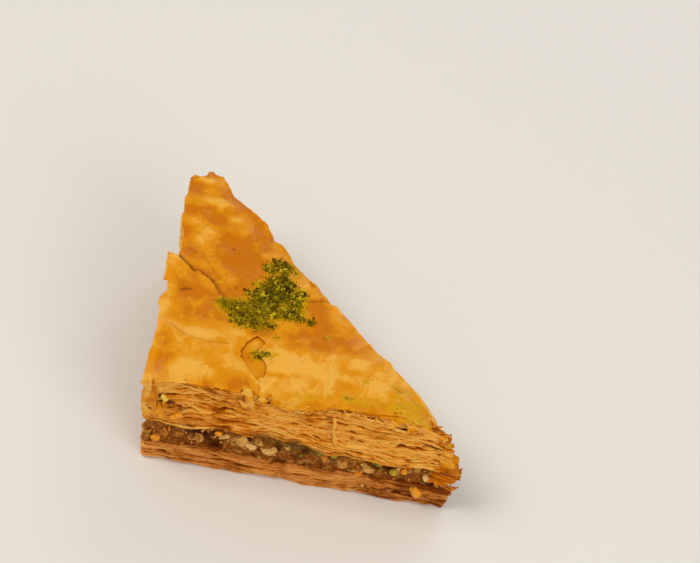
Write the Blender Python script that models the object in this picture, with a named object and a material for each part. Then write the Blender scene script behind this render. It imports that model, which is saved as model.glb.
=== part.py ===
"""A triangular piece of baklava: half of a square, cut across its corners, lying as it was cut.

Three layers lie on each other: the bottom leaves of filo, the nut filling, and the tall stack of
upper leaves, with ground pistachio stuck to its top. The front cut runs along X from the square
corner, the left cut along Y, and the long cut joins the two sharp ends. All sizes are in metres.
"""

import random
from math import cos, exp, pi, sqrt

import bmesh
import bpy
import numpy as np
from mathutils import Vector, noise
from mathutils.geometry import delaunay_2d_cdt

MM = 0.001

# Driving dimensions of the whole piece
SIDE_LENGTH = 67 * MM
TIP_WIDTH = 8 * MM
TIP_SLANT = 1.6 * MM
HEIGHT = 35 * MM
LAYER_GAP = 0.3 * MM

# The filling lies between two wavy surfaces: height, ripple, and the ripple's length
FILLING_TOP = 15.2 * MM
FILLING_TOP_RIPPLE = 0.7 * MM
FILLING_TOP_LENGTH = 17 * MM
FILLING_SWAY = 1.1 * MM
FILLING_SWAY_LENGTH = 90 * MM
FILLING_CREST = 8 * MM
FILLING_BOTTOM = 7.6 * MM
FILLING_BOTTOM_RIPPLE = 0.7 * MM
FILLING_BOTTOM_LENGTH = 21 * MM
FILLING_RECESS = 1 * MM
FILLING_INSETS = (0.9 * FILLING_RECESS, 0.4 * FILLING_RECESS, 0.7 * FILLING_RECESS,
                  1.4 * FILLING_RECESS)

# The sharp right end is broken back most at the top: depth below the top, and the reach there
END_DEPTHS = (0, 7.5 * MM, 18 * MM, 26 * MM, 35 * MM)
END_REACHES = (73.5 * MM, 77 * MM, 79.5 * MM, 80 * MM, 79 * MM)

# How far the corners and the long edge of the top sink below its level
CORNER_DROOP = 3.2 * MM
CORNER_DROOP_RADIUS = 6.5 * MM
END_DROOP = 4.5 * MM
END_DROOP_RADIUS = 8 * MM
END_DROOP_STRETCH = 1.4
EDGE_DROOP = 0.9 * MM
EDGE_DROOP_WIDTH = 3 * MM
TOP_RIPPLE = 0.55 * MM
TOP_RIPPLE_LENGTH = 13 * MM

# Points along the front, long, back and left cuts, and spacings of the surfaces' points
EDGE_POINTS = (29, 37, 4, 25)
CAP_SPACING = 2.7 * MM
HIDDEN_CAP_SPACING = 5 * MM
ROW_STEP = sqrt(3) / 2
CAP_MARGIN = 0.55

# Near the sharp ends the relief of the cuts fades to this share, so that two cuts never cross
SHARP_END_LENGTH = 8 * MM
SHARP_END_SHARE = 0.3

# Leaves on the cut sides
CUT_WANDER = 0.7 * MM
CUT_WANDER_LENGTH = 15 * MM
UPPER_BUNDLES = 8
LOWER_BUNDLES = 3
LEDGE_DEPTH = 0.75 * MM
LEDGE_VARIATION = 0.6 * MM
LEDGE_LENGTH = 6 * MM
LEAF_WAVE = 0.35 * MM
LEAF_WAVE_LENGTH = 9 * MM
LOWER_SPREAD_LEFT = 1.1 * MM
FOOT_ROUNDING = 1.1 * MM

# Each surface and stack takes its ripples from its own plane of the noise
TOP_PLANE = 3.1
CUT_PLANE = 1.9
FILLING_TOP_PLANE = 8.3
FILLING_BOTTOM_PLANE = 5.7
UPPER_PLANE = 10.7
FILLING_PLANE = 20.9
LOWER_PLANE = 40.3
PLANE_STEP = 1.7

# Torn hole in the top leaves near the front, one leaf bundle deep
TEAR_CENTRE = Vector((26 * MM, 11 * MM))
TEAR_HALF = Vector((3.4 * MM, 5 * MM))
TEAR_DEPTH = 0.8 * MM

# The front top leaf lies over the back one: its torn edge starts at the left flap and runs back in
FLAP_TIP = Vector((-1.3 * MM, 38.8 * MM))
FLAP_SLOPE = -0.6
FLAP_REACH = 15 * MM
FLAP_LIFT = 0.8 * MM

# Torn leaf ends that stand out of the top: corners as x, y and depth below the top, in millimetres
FLAKE_THICKNESS = 0.6 * MM
TOP_FLAKES = {
    "left_flap": ((-1.5, 39, -0.3), (-1.2, 35, -0.2), (-0.8, 29, 0), (3, 27, 0.2), (6, 31, 0.1),
                  (3, 35.6, -0.1)),
    "back_nub": ((2.4, 68.3, 0.3), (3.1, 64, 0.1), (6.4, 64.5, 0.1), (6, 68.6, 0.2),
                 (4.4, 69.9, 0.1)),
    "long_cut_shard": ((56, 16, 0.3), (57, 19.8, 0.4), (60.5, 16.8, 0.4), (62, 12, 0.3),
                       (58, 12, 0.3)),
    "front_strip": ((28, -1.3, 2.2), (30.5, -1.2, 2.6), (31.5, 3, 0.2), (27.5, 3, 0.2)),
}

# Leaf ends that jut from the right end: depth of each below the top and its reach, and their shape
END_FLAKES = ((9, 79.2), (12.5, 79.6), (16, 81.2), (18.5, 80.4))
END_FLAKE_SIDE = 0.4
END_FLAKE_OUTLINE = ((0, -0.5, -0.5), (-1.4, 1.6, 0), (-6, 3, 0.2), (-8, 0.6, 0.2),
                     (-3, -1.5, -0.2))

# Ground pistachio. Each heap: centre and spread in x and y in millimetres, and number of crumbs
CRUMB_HEAPS = (
    (28, 38, 3.0, 2.2, 24),
    (26.5, 29.5, 3.6, 3.0, 40),
    (19.5, 24, 2.6, 2.2, 24),
    (28, 12, 1.6, 1.0, 4),
    (65, 5.5, 2.6, 1.6, 7),
    (50, 4, 2.4, 1.0, 3),
)
CRUMB_RADIUS = (0.55 * MM, 1.05 * MM)
CRUMB_LIFT = 0.3
CRUMB_EDGE = 2.5 * MM

# Chopped nuts that break out of the filling's sides
NUT_PIECES = 46
NUT_RADIUS = (1.2 * MM, 2.5 * MM)
NUT_DEPTH = (0.9 * MM, 1.6 * MM)
NUT_CLEARANCE = 0.35 * MM
NUT_ROOM = 0.75

# Uneven shape of a crumb: proportions of its width, length and thickness, and of each corner
LUMP_WIDTH = (0.7, 1.2)
LUMP_THICKNESS = (0.6, 0.95)
LUMP_CORNER = (0.8, 1.15)
LUMP_REACH = 1.2
SEED = 7


def make_material(name, color, roughness):
    """A plain food finish with the piece's own colour."""
    material = bpy.data.materials.new(name)
    material.use_nodes = True
    shader = material.node_tree.nodes["Principled BSDF"]
    shader.inputs["Base Color"].default_value = (*color, 1)
    shader.inputs["Roughness"].default_value = roughness
    shader.inputs["Metallic"].default_value = 0
    return material


def ripple(point, length, plane):
    """Smooth noise, from about -1 to 1, at a point or plan point."""
    return noise.noise(Vector((point[0] / length, point[1] / length, plane)))


def corners_at(z):
    """Plan corners at height z: square corner, sharp right end, and both ends of the back tip."""
    reach = float(np.interp(HEIGHT - z, END_DEPTHS, END_REACHES))
    return [
        Vector((0, 0)),
        Vector((reach, 0)),
        Vector((TIP_WIDTH, SIDE_LENGTH + TIP_SLANT)),
        Vector((0, SIDE_LENGTH)),
    ]


def cut_outline(z):
    """Points round the cut sides at height z, each with its outward direction in plan.

    The direction is shorter near the two sharp ends, where the relief of the cuts fades.
    """
    corners = corners_at(z)
    sharp = (corners[1], (corners[2] + corners[3]) / 2)
    outline = []
    for index, count in enumerate(EDGE_POINTS):
        start, end = corners[index], corners[(index + 1) % 4]
        along = (end - start).normalized()
        outward = Vector((along.y, -along.x))
        last = (start - corners[index - 1]).normalized()
        corner_outward = (outward + Vector((last.y, -last.x))).normalized()
        for step in range(count):
            point = start.lerp(end, step / count)
            room = min((point - corner).length for corner in sharp) / SHARP_END_LENGTH
            share = min(1, SHARP_END_SHARE + (1 - SHARP_END_SHARE) * room)
            direction = corner_outward if step == 0 else outward
            outline.append((point, direction * share))
    return outline


def top_height(point):
    """Height of the pastry's top, which sinks at the corner, the sharp end and the long edge."""
    x, y = point[0], point[1]
    corner = (x * x + y * y) / CORNER_DROOP_RADIUS**2
    end = ((x - END_REACHES[1]) ** 2 + (y / END_DROOP_STRETCH) ** 2) / END_DROOP_RADIUS**2
    long_cut = max(0, END_REACHES[0] - x - y) / EDGE_DROOP_WIDTH
    sunk = CORNER_DROOP * exp(-corner) + END_DROOP * exp(-end) + EDGE_DROOP * exp(-long_cut)
    height = HEIGHT - sunk + TOP_RIPPLE * ripple(point, TOP_RIPPLE_LENGTH, TOP_PLANE)
    if abs(x - TEAR_CENTRE.x) < TEAR_HALF.x and abs(y - TEAR_CENTRE.y) < TEAR_HALF.y:
        height -= TEAR_DEPTH
    if y < FLAP_TIP.y + FLAP_SLOPE * (x - FLAP_TIP.x):
        height += FLAP_LIFT * exp(-((x / FLAP_REACH) ** 2)) * min(1, max(0, y / FLAP_REACH))
    return height


def filling_top(point):
    """Where the filling meets the upper leaves."""
    sway = FILLING_SWAY * cos(2 * pi * (point[0] - FILLING_CREST) / FILLING_SWAY_LENGTH)
    own = FILLING_TOP_RIPPLE * ripple(point, FILLING_TOP_LENGTH, FILLING_TOP_PLANE)
    return FILLING_TOP + sway + own


def filling_bottom(point):
    """Where the filling lies on the bottom leaves."""
    own = FILLING_BOTTOM_RIPPLE * ripple(point, FILLING_BOTTOM_LENGTH, FILLING_BOTTOM_PLANE)
    return FILLING_BOTTOM + own


def leaf_ring(share, lower, upper, inset, plane, left_spread=0.0):
    """One ring of points round the cut sides, at a share of the way from lower to upper."""
    middle = Vector((SIDE_LENGTH / 3, SIDE_LENGTH / 3))
    nominal = lower(middle) + (upper(middle) - lower(middle)) * share
    ring = []
    for plan, outward in cut_outline(nominal):
        wander = CUT_WANDER * ripple(plan, CUT_WANDER_LENGTH, CUT_PLANE)
        own = LEDGE_VARIATION * ripple(plan, LEDGE_LENGTH, plane)
        spread = left_spread * max(0, -outward.x)
        place = plan + outward * (wander + own + spread - inset)
        bottom, top = lower(place), upper(place)
        wave = LEAF_WAVE * ripple(plan, LEAF_WAVE_LENGTH, plane / 3) * 4 * share * (1 - share)
        ring.append(Vector((place.x, place.y, bottom + (top - bottom) * share + wave)))
    return ring


def inside(point, ring, margin):
    """True if a plan point is inside the ring and at least the margin from each of its sides."""
    crossings = 0
    for start, end in zip(ring, ring[1:] + ring[:1]):
        along = end.xy - start.xy
        share = max(0, min(1, (point - start.xy).dot(along) / along.length_squared))
        if (start.xy + along * share - point).length < margin:
            return False
        if (start.y > point.y) != (end.y > point.y):
            across = start.x + (point.y - start.y) * (end.x - start.x) / (end.y - start.y)
            crossings += point.x < across
    return crossings % 2 == 1


def grid_points(ring, spacing):
    """Plan points on a staggered grid inside a ring."""
    points = []
    rows = int(max(p.y for p in ring) / (spacing * ROW_STEP)) + 1
    columns = int(max(p.x for p in ring) / spacing) + 1
    for row in range(rows):
        for column in range(columns):
            point = Vector(((column + 0.5 * (row % 2)) * spacing, row * spacing * ROW_STEP))
            if inside(point, ring, spacing * CAP_MARGIN):
                points.append(point)
    return points


def add_cap(mesh, ring_vertices, height, spacing, faces_up):
    """Closes a ring with a triangulated surface at the given height function."""
    ring = [vertex.co.copy() for vertex in ring_vertices]
    extra = grid_points(ring, spacing) if spacing else []
    count = len(ring)
    points = [p.xy for p in ring] + extra
    edges = [(i, (i + 1) % count) for i in range(count)]
    triangulated = delaunay_2d_cdt(points, edges, [], 1, 1e-7)
    vertices = list(ring_vertices)
    vertices += [mesh.verts.new((p.x, p.y, height(p))) for p in extra]
    sources = [source[0] for source in triangulated[3]]
    for face in triangulated[2]:
        order = face if faces_up else face[::-1]
        mesh.faces.new([vertices[sources[i]] for i in order])


def add_object(name, mesh, material):
    """Turns a bmesh into a named object with its material."""
    data = bpy.data.meshes.new(name)
    mesh.to_mesh(data)
    mesh.free()
    data.materials.append(material)
    part = bpy.data.objects.new(name, data)
    bpy.context.scene.collection.objects.link(part)
    return part


def build_layer(name, rings, caps, material):
    """A closed layer from its rings, lowest first, and its two caps as (height, spacing)."""
    mesh = bmesh.new()
    rows = [[mesh.verts.new(point) for point in ring] for ring in rings]
    for low, high in zip(rows, rows[1:]):
        for i in range(len(low)):
            j = (i + 1) % len(low)
            mesh.faces.new((low[i], low[j], high[j], high[i]))
    add_cap(mesh, rows[0], *caps[0], faces_up=False)
    add_cap(mesh, rows[-1], *caps[1], faces_up=True)
    bmesh.ops.triangulate(mesh, faces=mesh.faces[:])
    return add_object(name, mesh, material)


def leaf_rings(lower, upper, bundles, plane, left_spread):
    """Rings of a stack of leaf bundles: an outer edge for each bundle, and a groove between."""
    rings = []
    for index in range(bundles * 2 + 1):
        share = index / (bundles * 2)
        groove = LEDGE_DEPTH if index % 2 else 0
        own_plane = plane + PLANE_STEP * index
        rings.append(leaf_ring(share, lower, upper, groove, own_plane, left_spread))
    return rings


def lump(name, centre, radius, rng, material):
    """A broken nut crumb: a squashed icosahedron with uneven corners."""
    mesh = bmesh.new()
    bmesh.ops.create_icosphere(mesh, subdivisions=1, radius=radius)
    turn = Vector((rng.gauss(0, 1), rng.gauss(0, 1), rng.gauss(0, 1))).to_track_quat("Z", "Y")
    width, length = rng.uniform(*LUMP_WIDTH), rng.uniform(*LUMP_WIDTH)
    size = Vector((width, length, rng.uniform(*LUMP_THICKNESS)))
    for vertex in mesh.verts:
        vertex.co = turn @ (vertex.co * size * rng.uniform(*LUMP_CORNER))
        vertex.co += centre
    return add_object(name, mesh, material)


def flake(name, points, material):
    """A torn flake of leaf: an outline of (x, y, z) points, given some thickness."""
    mesh = bmesh.new()
    upper = [mesh.verts.new(point) for point in points]
    lower = [mesh.verts.new(Vector(p) - Vector((0, 0, FLAKE_THICKNESS))) for p in points]
    count = len(points)
    mesh.faces.new(upper)
    mesh.faces.new(lower[::-1])
    for i in range(count):
        j = (i + 1) % count
        mesh.faces.new((upper[i], lower[i], lower[j], upper[j]))
    bmesh.ops.recalc_face_normals(mesh, faces=mesh.faces[:])
    bmesh.ops.triangulate(mesh, faces=mesh.faces[:])
    return add_object(name, mesh, material)


def evaluated_mesh(part):
    """The object's mesh with its modifiers, as new mesh data."""
    graph = bpy.context.evaluated_depsgraph_get()
    return bpy.data.meshes.new_from_object(part.evaluated_get(graph))


def keep_largest_shell(data):
    """Fills hollows that fusing sealed, and drops loose scraps, by keeping the outer shell alone."""
    mesh = bmesh.new()
    mesh.from_mesh(data)
    left = set(mesh.verts)
    shells = []
    while left:
        shell, front = set(), [left.pop()]
        while front:
            vertex = front.pop()
            shell.add(vertex)
            near = {edge.other_vert(vertex) for edge in vertex.link_edges} & left
            left -= near
            front.extend(near)
        shells.append(shell)
    outer = max(shells, key=len)
    bmesh.ops.delete(mesh, geom=[v for v in mesh.verts if v not in outer], context="VERTS")
    mesh.to_mesh(data)
    mesh.free()


def fuse(part, pieces):
    """Joins the pieces to the part with one Boolean union, which is applied."""
    collection = bpy.data.collections.new(part.name + "_fused")
    for piece in pieces:
        bpy.context.scene.collection.objects.unlink(piece)
        collection.objects.link(piece)
    bpy.context.scene.collection.children.link(collection)
    union = part.modifiers.new("fuse", "BOOLEAN")
    union.operation = "UNION"
    union.operand_type = "COLLECTION"
    union.collection = collection
    bpy.context.view_layer.update()
    joined = evaluated_mesh(part)
    part.modifiers.remove(union)
    part.data = joined
    for piece in pieces:
        bpy.data.objects.remove(piece)
    bpy.data.collections.remove(collection)
    keep_largest_shell(joined)


def pistachio_crumbs(material):
    """Ground pistachio: heaps of crumbs on the middle of the top, and fewer near the front."""
    rng = random.Random(SEED)
    crumbs = []
    for x, y, spread_x, spread_y, count in CRUMB_HEAPS:
        for _ in range(count):
            plan = Vector((rng.gauss(x, spread_x), rng.gauss(y, spread_y))) * MM
            radius = rng.uniform(*CRUMB_RADIUS)
            if plan.x + plan.y > END_REACHES[0] - CRUMB_EDGE or min(plan) < CRUMB_EDGE:
                continue
            centre = Vector((plan.x, plan.y, top_height(plan) + CRUMB_LIFT * radius))
            crumbs.append(lump(f"crumb_{len(crumbs)}", centre, radius, rng, material))
    return crumbs


def nut_pieces(material):
    """Chopped nuts that break out of the filling's cut sides."""
    rng = random.Random(SEED + 1)
    outline = cut_outline(FILLING_TOP)
    pieces = []
    for index in range(NUT_PIECES):
        spot = (index + rng.uniform(-0.3, 0.3)) * len(outline) / NUT_PIECES
        plan, outward = outline[int(spot) % len(outline)]
        if outward.length < NUT_ROOM:
            continue
        plan = plan - outward * rng.uniform(*NUT_DEPTH)
        low = filling_bottom(plan) + LAYER_GAP
        high = filling_top(plan) - LAYER_GAP
        room = (high - low) / 2 - NUT_CLEARANCE
        radius = min(rng.uniform(*NUT_RADIUS), room / LUMP_REACH)
        reach = LUMP_REACH * radius + NUT_CLEARANCE
        centre = Vector((plan.x, plan.y, rng.uniform(low + reach, high - reach)))
        pieces.append(lump(f"nut_{index}", centre, radius, rng, material))
    return pieces


def torn_flakes(material):
    """The torn leaf ends that stand out of the upper stack, at the top and at the right end."""
    flakes = []
    for name, outline in TOP_FLAKES.items():
        points = []
        for x, y, below in outline:
            level = top_height((x * MM, y * MM))
            points.append((x * MM, y * MM, level - below * MM))
        flakes.append(flake(name, points, material))
    for index, (below, reach) in enumerate(END_FLAKES):
        tip = Vector((reach * MM, END_FLAKE_SIDE * MM, HEIGHT - below * MM))
        points = [tip + Vector(shift) * MM for shift in END_FLAKE_OUTLINE]
        flakes.append(flake(f"right_end_{index}", points, material))
    return flakes


def build_bottom_leaves(material):
    """The thin lower stack: it spreads a little to the left, and its foot is rounded under."""

    def floor(point):
        return 0.0

    def upper(point):
        return filling_bottom(point) - LAYER_GAP / 2

    rings = leaf_rings(floor, upper, LOWER_BUNDLES, LOWER_PLANE, LOWER_SPREAD_LEFT)
    rings[0] = leaf_ring(0, floor, upper, FOOT_ROUNDING, LOWER_PLANE)
    caps = [(floor, None), (upper, HIDDEN_CAP_SPACING)]
    return build_layer("bottom_pastry", rings, caps, material)


def build_filling(material):
    """The nut layer: a slightly sunk body with the chopped nuts breaking out of it."""

    def lower(point):
        return filling_bottom(point) + LAYER_GAP / 2

    def upper(point):
        return filling_top(point) - LAYER_GAP / 2

    last = len(FILLING_INSETS) - 1
    rings = [
        leaf_ring(index / last, lower, upper, inset, FILLING_PLANE + index)
        for index, inset in enumerate(FILLING_INSETS)
    ]
    caps = [(lower, HIDDEN_CAP_SPACING), (upper, HIDDEN_CAP_SPACING)]
    filling = build_layer("nut_filling", rings, caps, material)
    fuse(filling, nut_pieces(material))
    return filling


def build_upper_leaves(material):
    """The tall upper stack, with its torn flakes and the pistachio fused to it."""

    def lower(point):
        return filling_top(point) + LAYER_GAP / 2

    rings = leaf_rings(lower, top_height, UPPER_BUNDLES, UPPER_PLANE, 0)
    caps = [(lower, HIDDEN_CAP_SPACING), (top_height, CAP_SPACING)]
    stack = build_layer("top_pastry", rings, caps, material)
    fuse(stack, torn_flakes(material) + pistachio_crumbs(material))
    return stack


def centre_on_origin(parts):
    """Places the piece by an empty, so that the middle of its box's base is the origin."""
    corners = [part.matrix_world @ v.co for part in parts for v in part.data.vertices]
    low = Vector([min(c[axis] for c in corners) for axis in range(3)])
    high = Vector([max(c[axis] for c in corners) for axis in range(3)])
    holder = bpy.data.objects.new("baklava", None)
    bpy.context.scene.collection.objects.link(holder)
    holder.location = Vector((-(low.x + high.x) / 2, -(low.y + high.y) / 2, -low.z))
    for part in parts:
        part.parent = holder


def main():
    for old in list(bpy.data.objects):
        bpy.data.objects.remove(old)
    pastry = make_material("baked_filo", (0.72, 0.36, 0.08), 0.4)
    soaked = make_material("soaked_filo", (0.5, 0.23, 0.06), 0.4)
    nuts = make_material("chopped_nuts", (0.42, 0.27, 0.12), 0.6)
    parts = [build_bottom_leaves(soaked), build_filling(nuts), build_upper_leaves(pastry)]
    centre_on_origin(parts)


main()
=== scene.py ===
# %% [markdown]
# # A piece of baklava, leaf by leaf
#
# Baklava is a tray of paper-thin filo leaves with chopped nuts between them. It is baked crisp,
# soaked with syrup, and cut. A cut piece shows everything at once: a golden crust, dozens of leaf
# edges, the nuts, and the syrup-dark leaves at the bottom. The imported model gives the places.
# This lesson adds what the eye looks for, each in its own step.

# %% Load the frame
import random
from math import cos, exp, hypot, pi, tanh

import bmesh
import bpy
from mathutils import Matrix, Vector, noise
from mathutils.geometry import delaunay_2d_cdt
from mathutils.kdtree import KDTree


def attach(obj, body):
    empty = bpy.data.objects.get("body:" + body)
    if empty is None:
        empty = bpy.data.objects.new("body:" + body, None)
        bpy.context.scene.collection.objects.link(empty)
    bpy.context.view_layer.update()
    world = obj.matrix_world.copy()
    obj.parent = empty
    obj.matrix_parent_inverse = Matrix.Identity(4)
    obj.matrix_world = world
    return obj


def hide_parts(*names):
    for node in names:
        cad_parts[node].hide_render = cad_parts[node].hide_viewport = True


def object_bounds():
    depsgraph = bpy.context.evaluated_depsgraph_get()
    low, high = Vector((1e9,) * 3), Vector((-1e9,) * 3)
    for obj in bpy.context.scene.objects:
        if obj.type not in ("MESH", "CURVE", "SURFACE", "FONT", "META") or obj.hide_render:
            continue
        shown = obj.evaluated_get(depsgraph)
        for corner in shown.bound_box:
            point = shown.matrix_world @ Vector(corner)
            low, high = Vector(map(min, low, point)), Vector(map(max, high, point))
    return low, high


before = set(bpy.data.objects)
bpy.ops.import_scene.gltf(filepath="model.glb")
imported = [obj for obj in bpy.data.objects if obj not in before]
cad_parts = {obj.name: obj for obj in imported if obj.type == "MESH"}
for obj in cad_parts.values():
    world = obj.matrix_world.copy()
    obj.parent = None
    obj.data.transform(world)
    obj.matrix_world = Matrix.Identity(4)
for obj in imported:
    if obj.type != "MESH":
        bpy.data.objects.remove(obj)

print("CAD nodes:", ", ".join(sorted(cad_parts)))

# %% [markdown]
# ## Millimetres from the square corner
#
# A pastry is easiest to describe in millimetres, measured from the corner where the front cut and
# the left cut meet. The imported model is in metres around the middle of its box. One function turns
# the first into the second, so every number below can be checked with a ruler.

# %% Units and places
MM = 0.001
LEFT_REACH = 1.553
FRONT_REACH = 1.3

cad_low, cad_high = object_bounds()
CORNER = Vector((cad_low.x + LEFT_REACH * MM, cad_low.y + FRONT_REACH * MM, 0))


def place(x, y, z):
    """A point in millimetres from the square corner, as a place in the frame."""
    return CORNER + Vector((x, y, z)) * MM


print("square corner in mm:", [round(value / MM, 2) for value in CORNER])

# %% [markdown]
# ## The levels of the piece
#
# The crust isn't flat: it sinks at the square corner, at the sharp right end and along the long
# cut, and it ripples. The filling lies between two wavy surfaces. Height functions of x and y give
# all of these, and because every later piece calls them, the pieces always meet.

# %% Height functions
HEIGHT = 35.0
TOP_REACH = 73.5
CORNER_DROOP, CORNER_RADIUS = 3.2, 6.5
END_DROOP, END_RADIUS, END_X = 4.5, 8.0, 77.0
END_SPREAD, END_CURVE = 0.27, 0.2
EDGE_DROOP, EDGE_WIDTH = 0.9, 3.0
FILLING_TOP, FILLING_BOTTOM = 15.2, 7.6


def ripple(x, y, size, plane):
    """Smooth noise from about -1 to 1, with waves of the given size in millimetres."""
    return noise.noise(Vector((x / size, y / size, plane)))


def bell(value, middle, width):
    """A soft hump: 1 at its middle, and almost 0 two widths away from it."""
    return exp(-(((value - middle) / width) ** 2))


def top_level(x, y):
    """Height of the crust."""
    corner = (x * x + y * y) / CORNER_RADIUS**2
    end = ((x - END_X) ** 2 + (y / 1.4) ** 2) / END_RADIUS**2
    cut = max(0, TOP_REACH - x - y) / EDGE_WIDTH
    sunk = CORNER_DROOP * exp(-corner) + END_DROOP * exp(-end) + EDGE_DROOP * exp(-cut)
    return HEIGHT - sunk + 0.55 * ripple(x, y, 13, 3.1)


def filling_top(x, y):
    """Where the nuts meet the upper leaves. They lie thickest under the middle of the front."""
    thick = 2.0 * bell(x, 33, 9) * bell(y, 0, 7)
    return FILLING_TOP + thick + 1.1 * cos(2 * pi * (x - 8) / 90) + 0.7 * ripple(x, y, 17, 8.3)


def filling_bottom(x, y):
    """Where the nuts lie on the bottom leaves."""
    return FILLING_BOTTOM + 0.7 * ripple(x, y, 21, 5.7)


def sagging_top(x, y):
    """The lowest upper leaves sag between the nuts."""
    return filling_top(x, y) + 0.9 * ripple(x, y, 4.5, 6.1)


def sagging_bottom(x, y):
    """The nuts press into the leaves below them."""
    return filling_bottom(x, y) + 0.6 * ripple(x, y, 4.0, 7.3)


def end_stretch(z):
    """The right end is broken back at the top, so lower outlines are longer by this factor."""
    depth = (HEIGHT - z) / HEIGHT
    return 1 + END_SPREAD * depth - END_CURVE * depth * depth


print("crust over the middle:", round(top_level(25, 25), 2), "mm")

# %% [markdown]
# ## Small helpers for meshes
#
# Three things are needed again and again: a mesh object from points and faces, a named attribute
# on its points, and the finishing calls that give it its finish and hide the solid it stands for.
# An attribute is the best way to tell a material something that only the shape knows, such as
# where a leaf is loose.

# %% Mesh helpers


def new_piece(name, points, faces):
    """A smooth mesh object from points in the frame."""
    mesh = bpy.data.meshes.new(name)
    mesh.from_pydata(points, [], faces)
    mesh.validate()
    mesh.shade_smooth()
    piece = bpy.data.objects.new(name, mesh)
    bpy.context.scene.collection.objects.link(piece)
    return piece


def set_attribute(piece, name, values):
    """Stores one number, or one vector, for each point of the piece."""
    vector = isinstance(values[0], Vector)
    kind = "FLOAT_VECTOR" if vector else "FLOAT"
    attribute = piece.data.attributes.new(name, kind, "POINT")
    flat = [part for value in values for part in value] if vector else values
    attribute.data.foreach_set("vector" if vector else "value", flat)


def set_attributes(piece, **lists):
    """Stores several lists of values, each under its own name."""
    for name, values in lists.items():
        set_attribute(piece, name, values)


def finish_piece(piece, node, material=None):
    """Gives the piece its finish if one is given, and hides the solid that it stands for."""
    if material:
        piece.data.materials.clear()
        piece.data.materials.append(material)
    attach(piece, "root")
    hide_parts(node)
    print(f"{piece.name}: {sum(len(p.vertices) - 2 for p in piece.data.polygons)} triangles")


# %% [markdown]
# ## Small helpers for node trees
#
# Materials and Geometry Nodes are both built in code here. Written out socket by socket, a tree
# is long and hard to read. With a helper that adds a node and fills its inputs at once, a tree
# reads almost like a formula.

# %% Node helpers


def add_node(tree, kind, inputs=(), **settings):
    """Adds a node with its settings, and fills its inputs with values or other sockets."""
    made = tree.nodes.new(kind)
    for name, value in settings.items():
        setattr(made, name, value)
    for key, value in dict(inputs).items():
        if isinstance(value, bpy.types.NodeSocket):
            tree.links.new(value, made.inputs[key])
        else:
            made.inputs[key].default_value = value
    return made


def calc(tree, operation, *values):
    """One step of arithmetic."""
    return add_node(tree, "ShaderNodeMath", enumerate(values), operation=operation).outputs[0]


def vector_calc(tree, operation, *values):
    """One step of vector arithmetic."""
    made = add_node(tree, "ShaderNodeVectorMath", enumerate(values), operation=operation)
    return made.outputs[0]


def spread(tree, value, low, high):
    """Maps the range low to high smoothly onto 0 to 1."""
    inputs = {"Value": value, "From Min": low, "From Max": high}
    made = add_node(tree, "ShaderNodeMapRange", inputs, interpolation_type="SMOOTHSTEP")
    return made.outputs["Result"]


def blend(tree, factor, first, second):
    """Mixes two colours."""
    inputs = {0: factor, 6: first, 7: second}
    return add_node(tree, "ShaderNodeMix", inputs, data_type="RGBA").outputs[2]


def noise_value(tree, position, size, detail, roughness=0.5, distortion=0.0):
    """Noise from 0 to 1 with spots of the given size, which may be a number or a socket."""
    return add_node(tree, "ShaderNodeTexNoise", {
        "Vector": position, "Scale": calc(tree, "DIVIDE", 1, size), "Detail": detail,
        "Roughness": roughness, "Distortion": distortion}).outputs["Fac"]


def new_group(name, kind, inputs, outputs):
    """A node group with named sockets. Returns the tree, its input node and its output node."""
    tree = bpy.data.node_groups.new(name, kind)
    for socket, (socket_type, value) in inputs.items():
        made = tree.interface.new_socket(socket, in_out="INPUT", socket_type=socket_type)
        if value is not None:
            made.default_value = value
    for socket, socket_type in outputs.items():
        tree.interface.new_socket(socket, in_out="OUTPUT", socket_type=socket_type)
    print(f"node group {name}: {len(inputs)} inputs, {len(outputs)} outputs")
    return tree, tree.nodes.new("NodeGroupInput"), tree.nodes.new("NodeGroupOutput")


FLOAT, COLOR, VECTOR = "NodeSocketFloat", "NodeSocketColor", "NodeSocketVector"
INTEGER, GEOMETRY = "NodeSocketInt", "NodeSocketGeometry"
MATERIAL, COLLECTION = "NodeSocketMaterial", "NodeSocketCollection"

# %% [markdown]
# ## Colours
#
# A colour is easiest to name as it looks on a screen, from 0 to 255. Blender calculates with
# linear light, so each is converted once, here.

# %% Colour helper


def paint(red, green, blue):
    """A screen colour as linear light."""
    linear = []
    for value in (red, green, blue):
        share = value / 255
        linear.append(share / 12.92 if share <= 0.04045 else ((share + 0.055) / 1.055) ** 2.4)
    return (*linear, 1)


# %% [markdown]
# ## Shared effect: browning
#
# A baked leaf is pale where it has lifted off the others, golden where it lies on them, and deep
# orange where syrup has stuck it down. The shape knows where that is, so it comes in as a number,
# Stuck. The group breaks its border up with mottling, because nothing baked has a clean edge.

# %% Browning group


def browning_group():
    inputs = {
        "Position": (VECTOR, None), "Stuck": (FLOAT, 0.5), "Pale": (COLOR, paint(235, 180, 105)),
        "Golden": (COLOR, paint(222, 145, 40)), "Deep": (COLOR, paint(195, 100, 10)),
        "Mottle Size": (FLOAT, 2 * MM), "Mottle": (FLOAT, 0.5),
    }
    tree, given, result = new_group("browning", "ShaderNodeTree", inputs, {"Color": COLOR})
    blotch = noise_value(tree, given.outputs["Position"], given.outputs["Mottle Size"], 5, 0.62)
    shift = calc(tree, "SUBTRACT", blotch, 0.5)
    shift = calc(tree, "MULTIPLY", shift, given.outputs["Mottle"])
    stuck = calc(tree, "ADD", given.outputs["Stuck"], shift)
    light = blend(tree, spread(tree, stuck, 0.1, 0.55), given.outputs["Pale"],
                  given.outputs["Golden"])
    color = blend(tree, spread(tree, stuck, 0.5, 0.95), light, given.outputs["Deep"])
    tree.links.new(color, result.inputs["Color"])
    return tree


BROWNING = browning_group()

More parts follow.
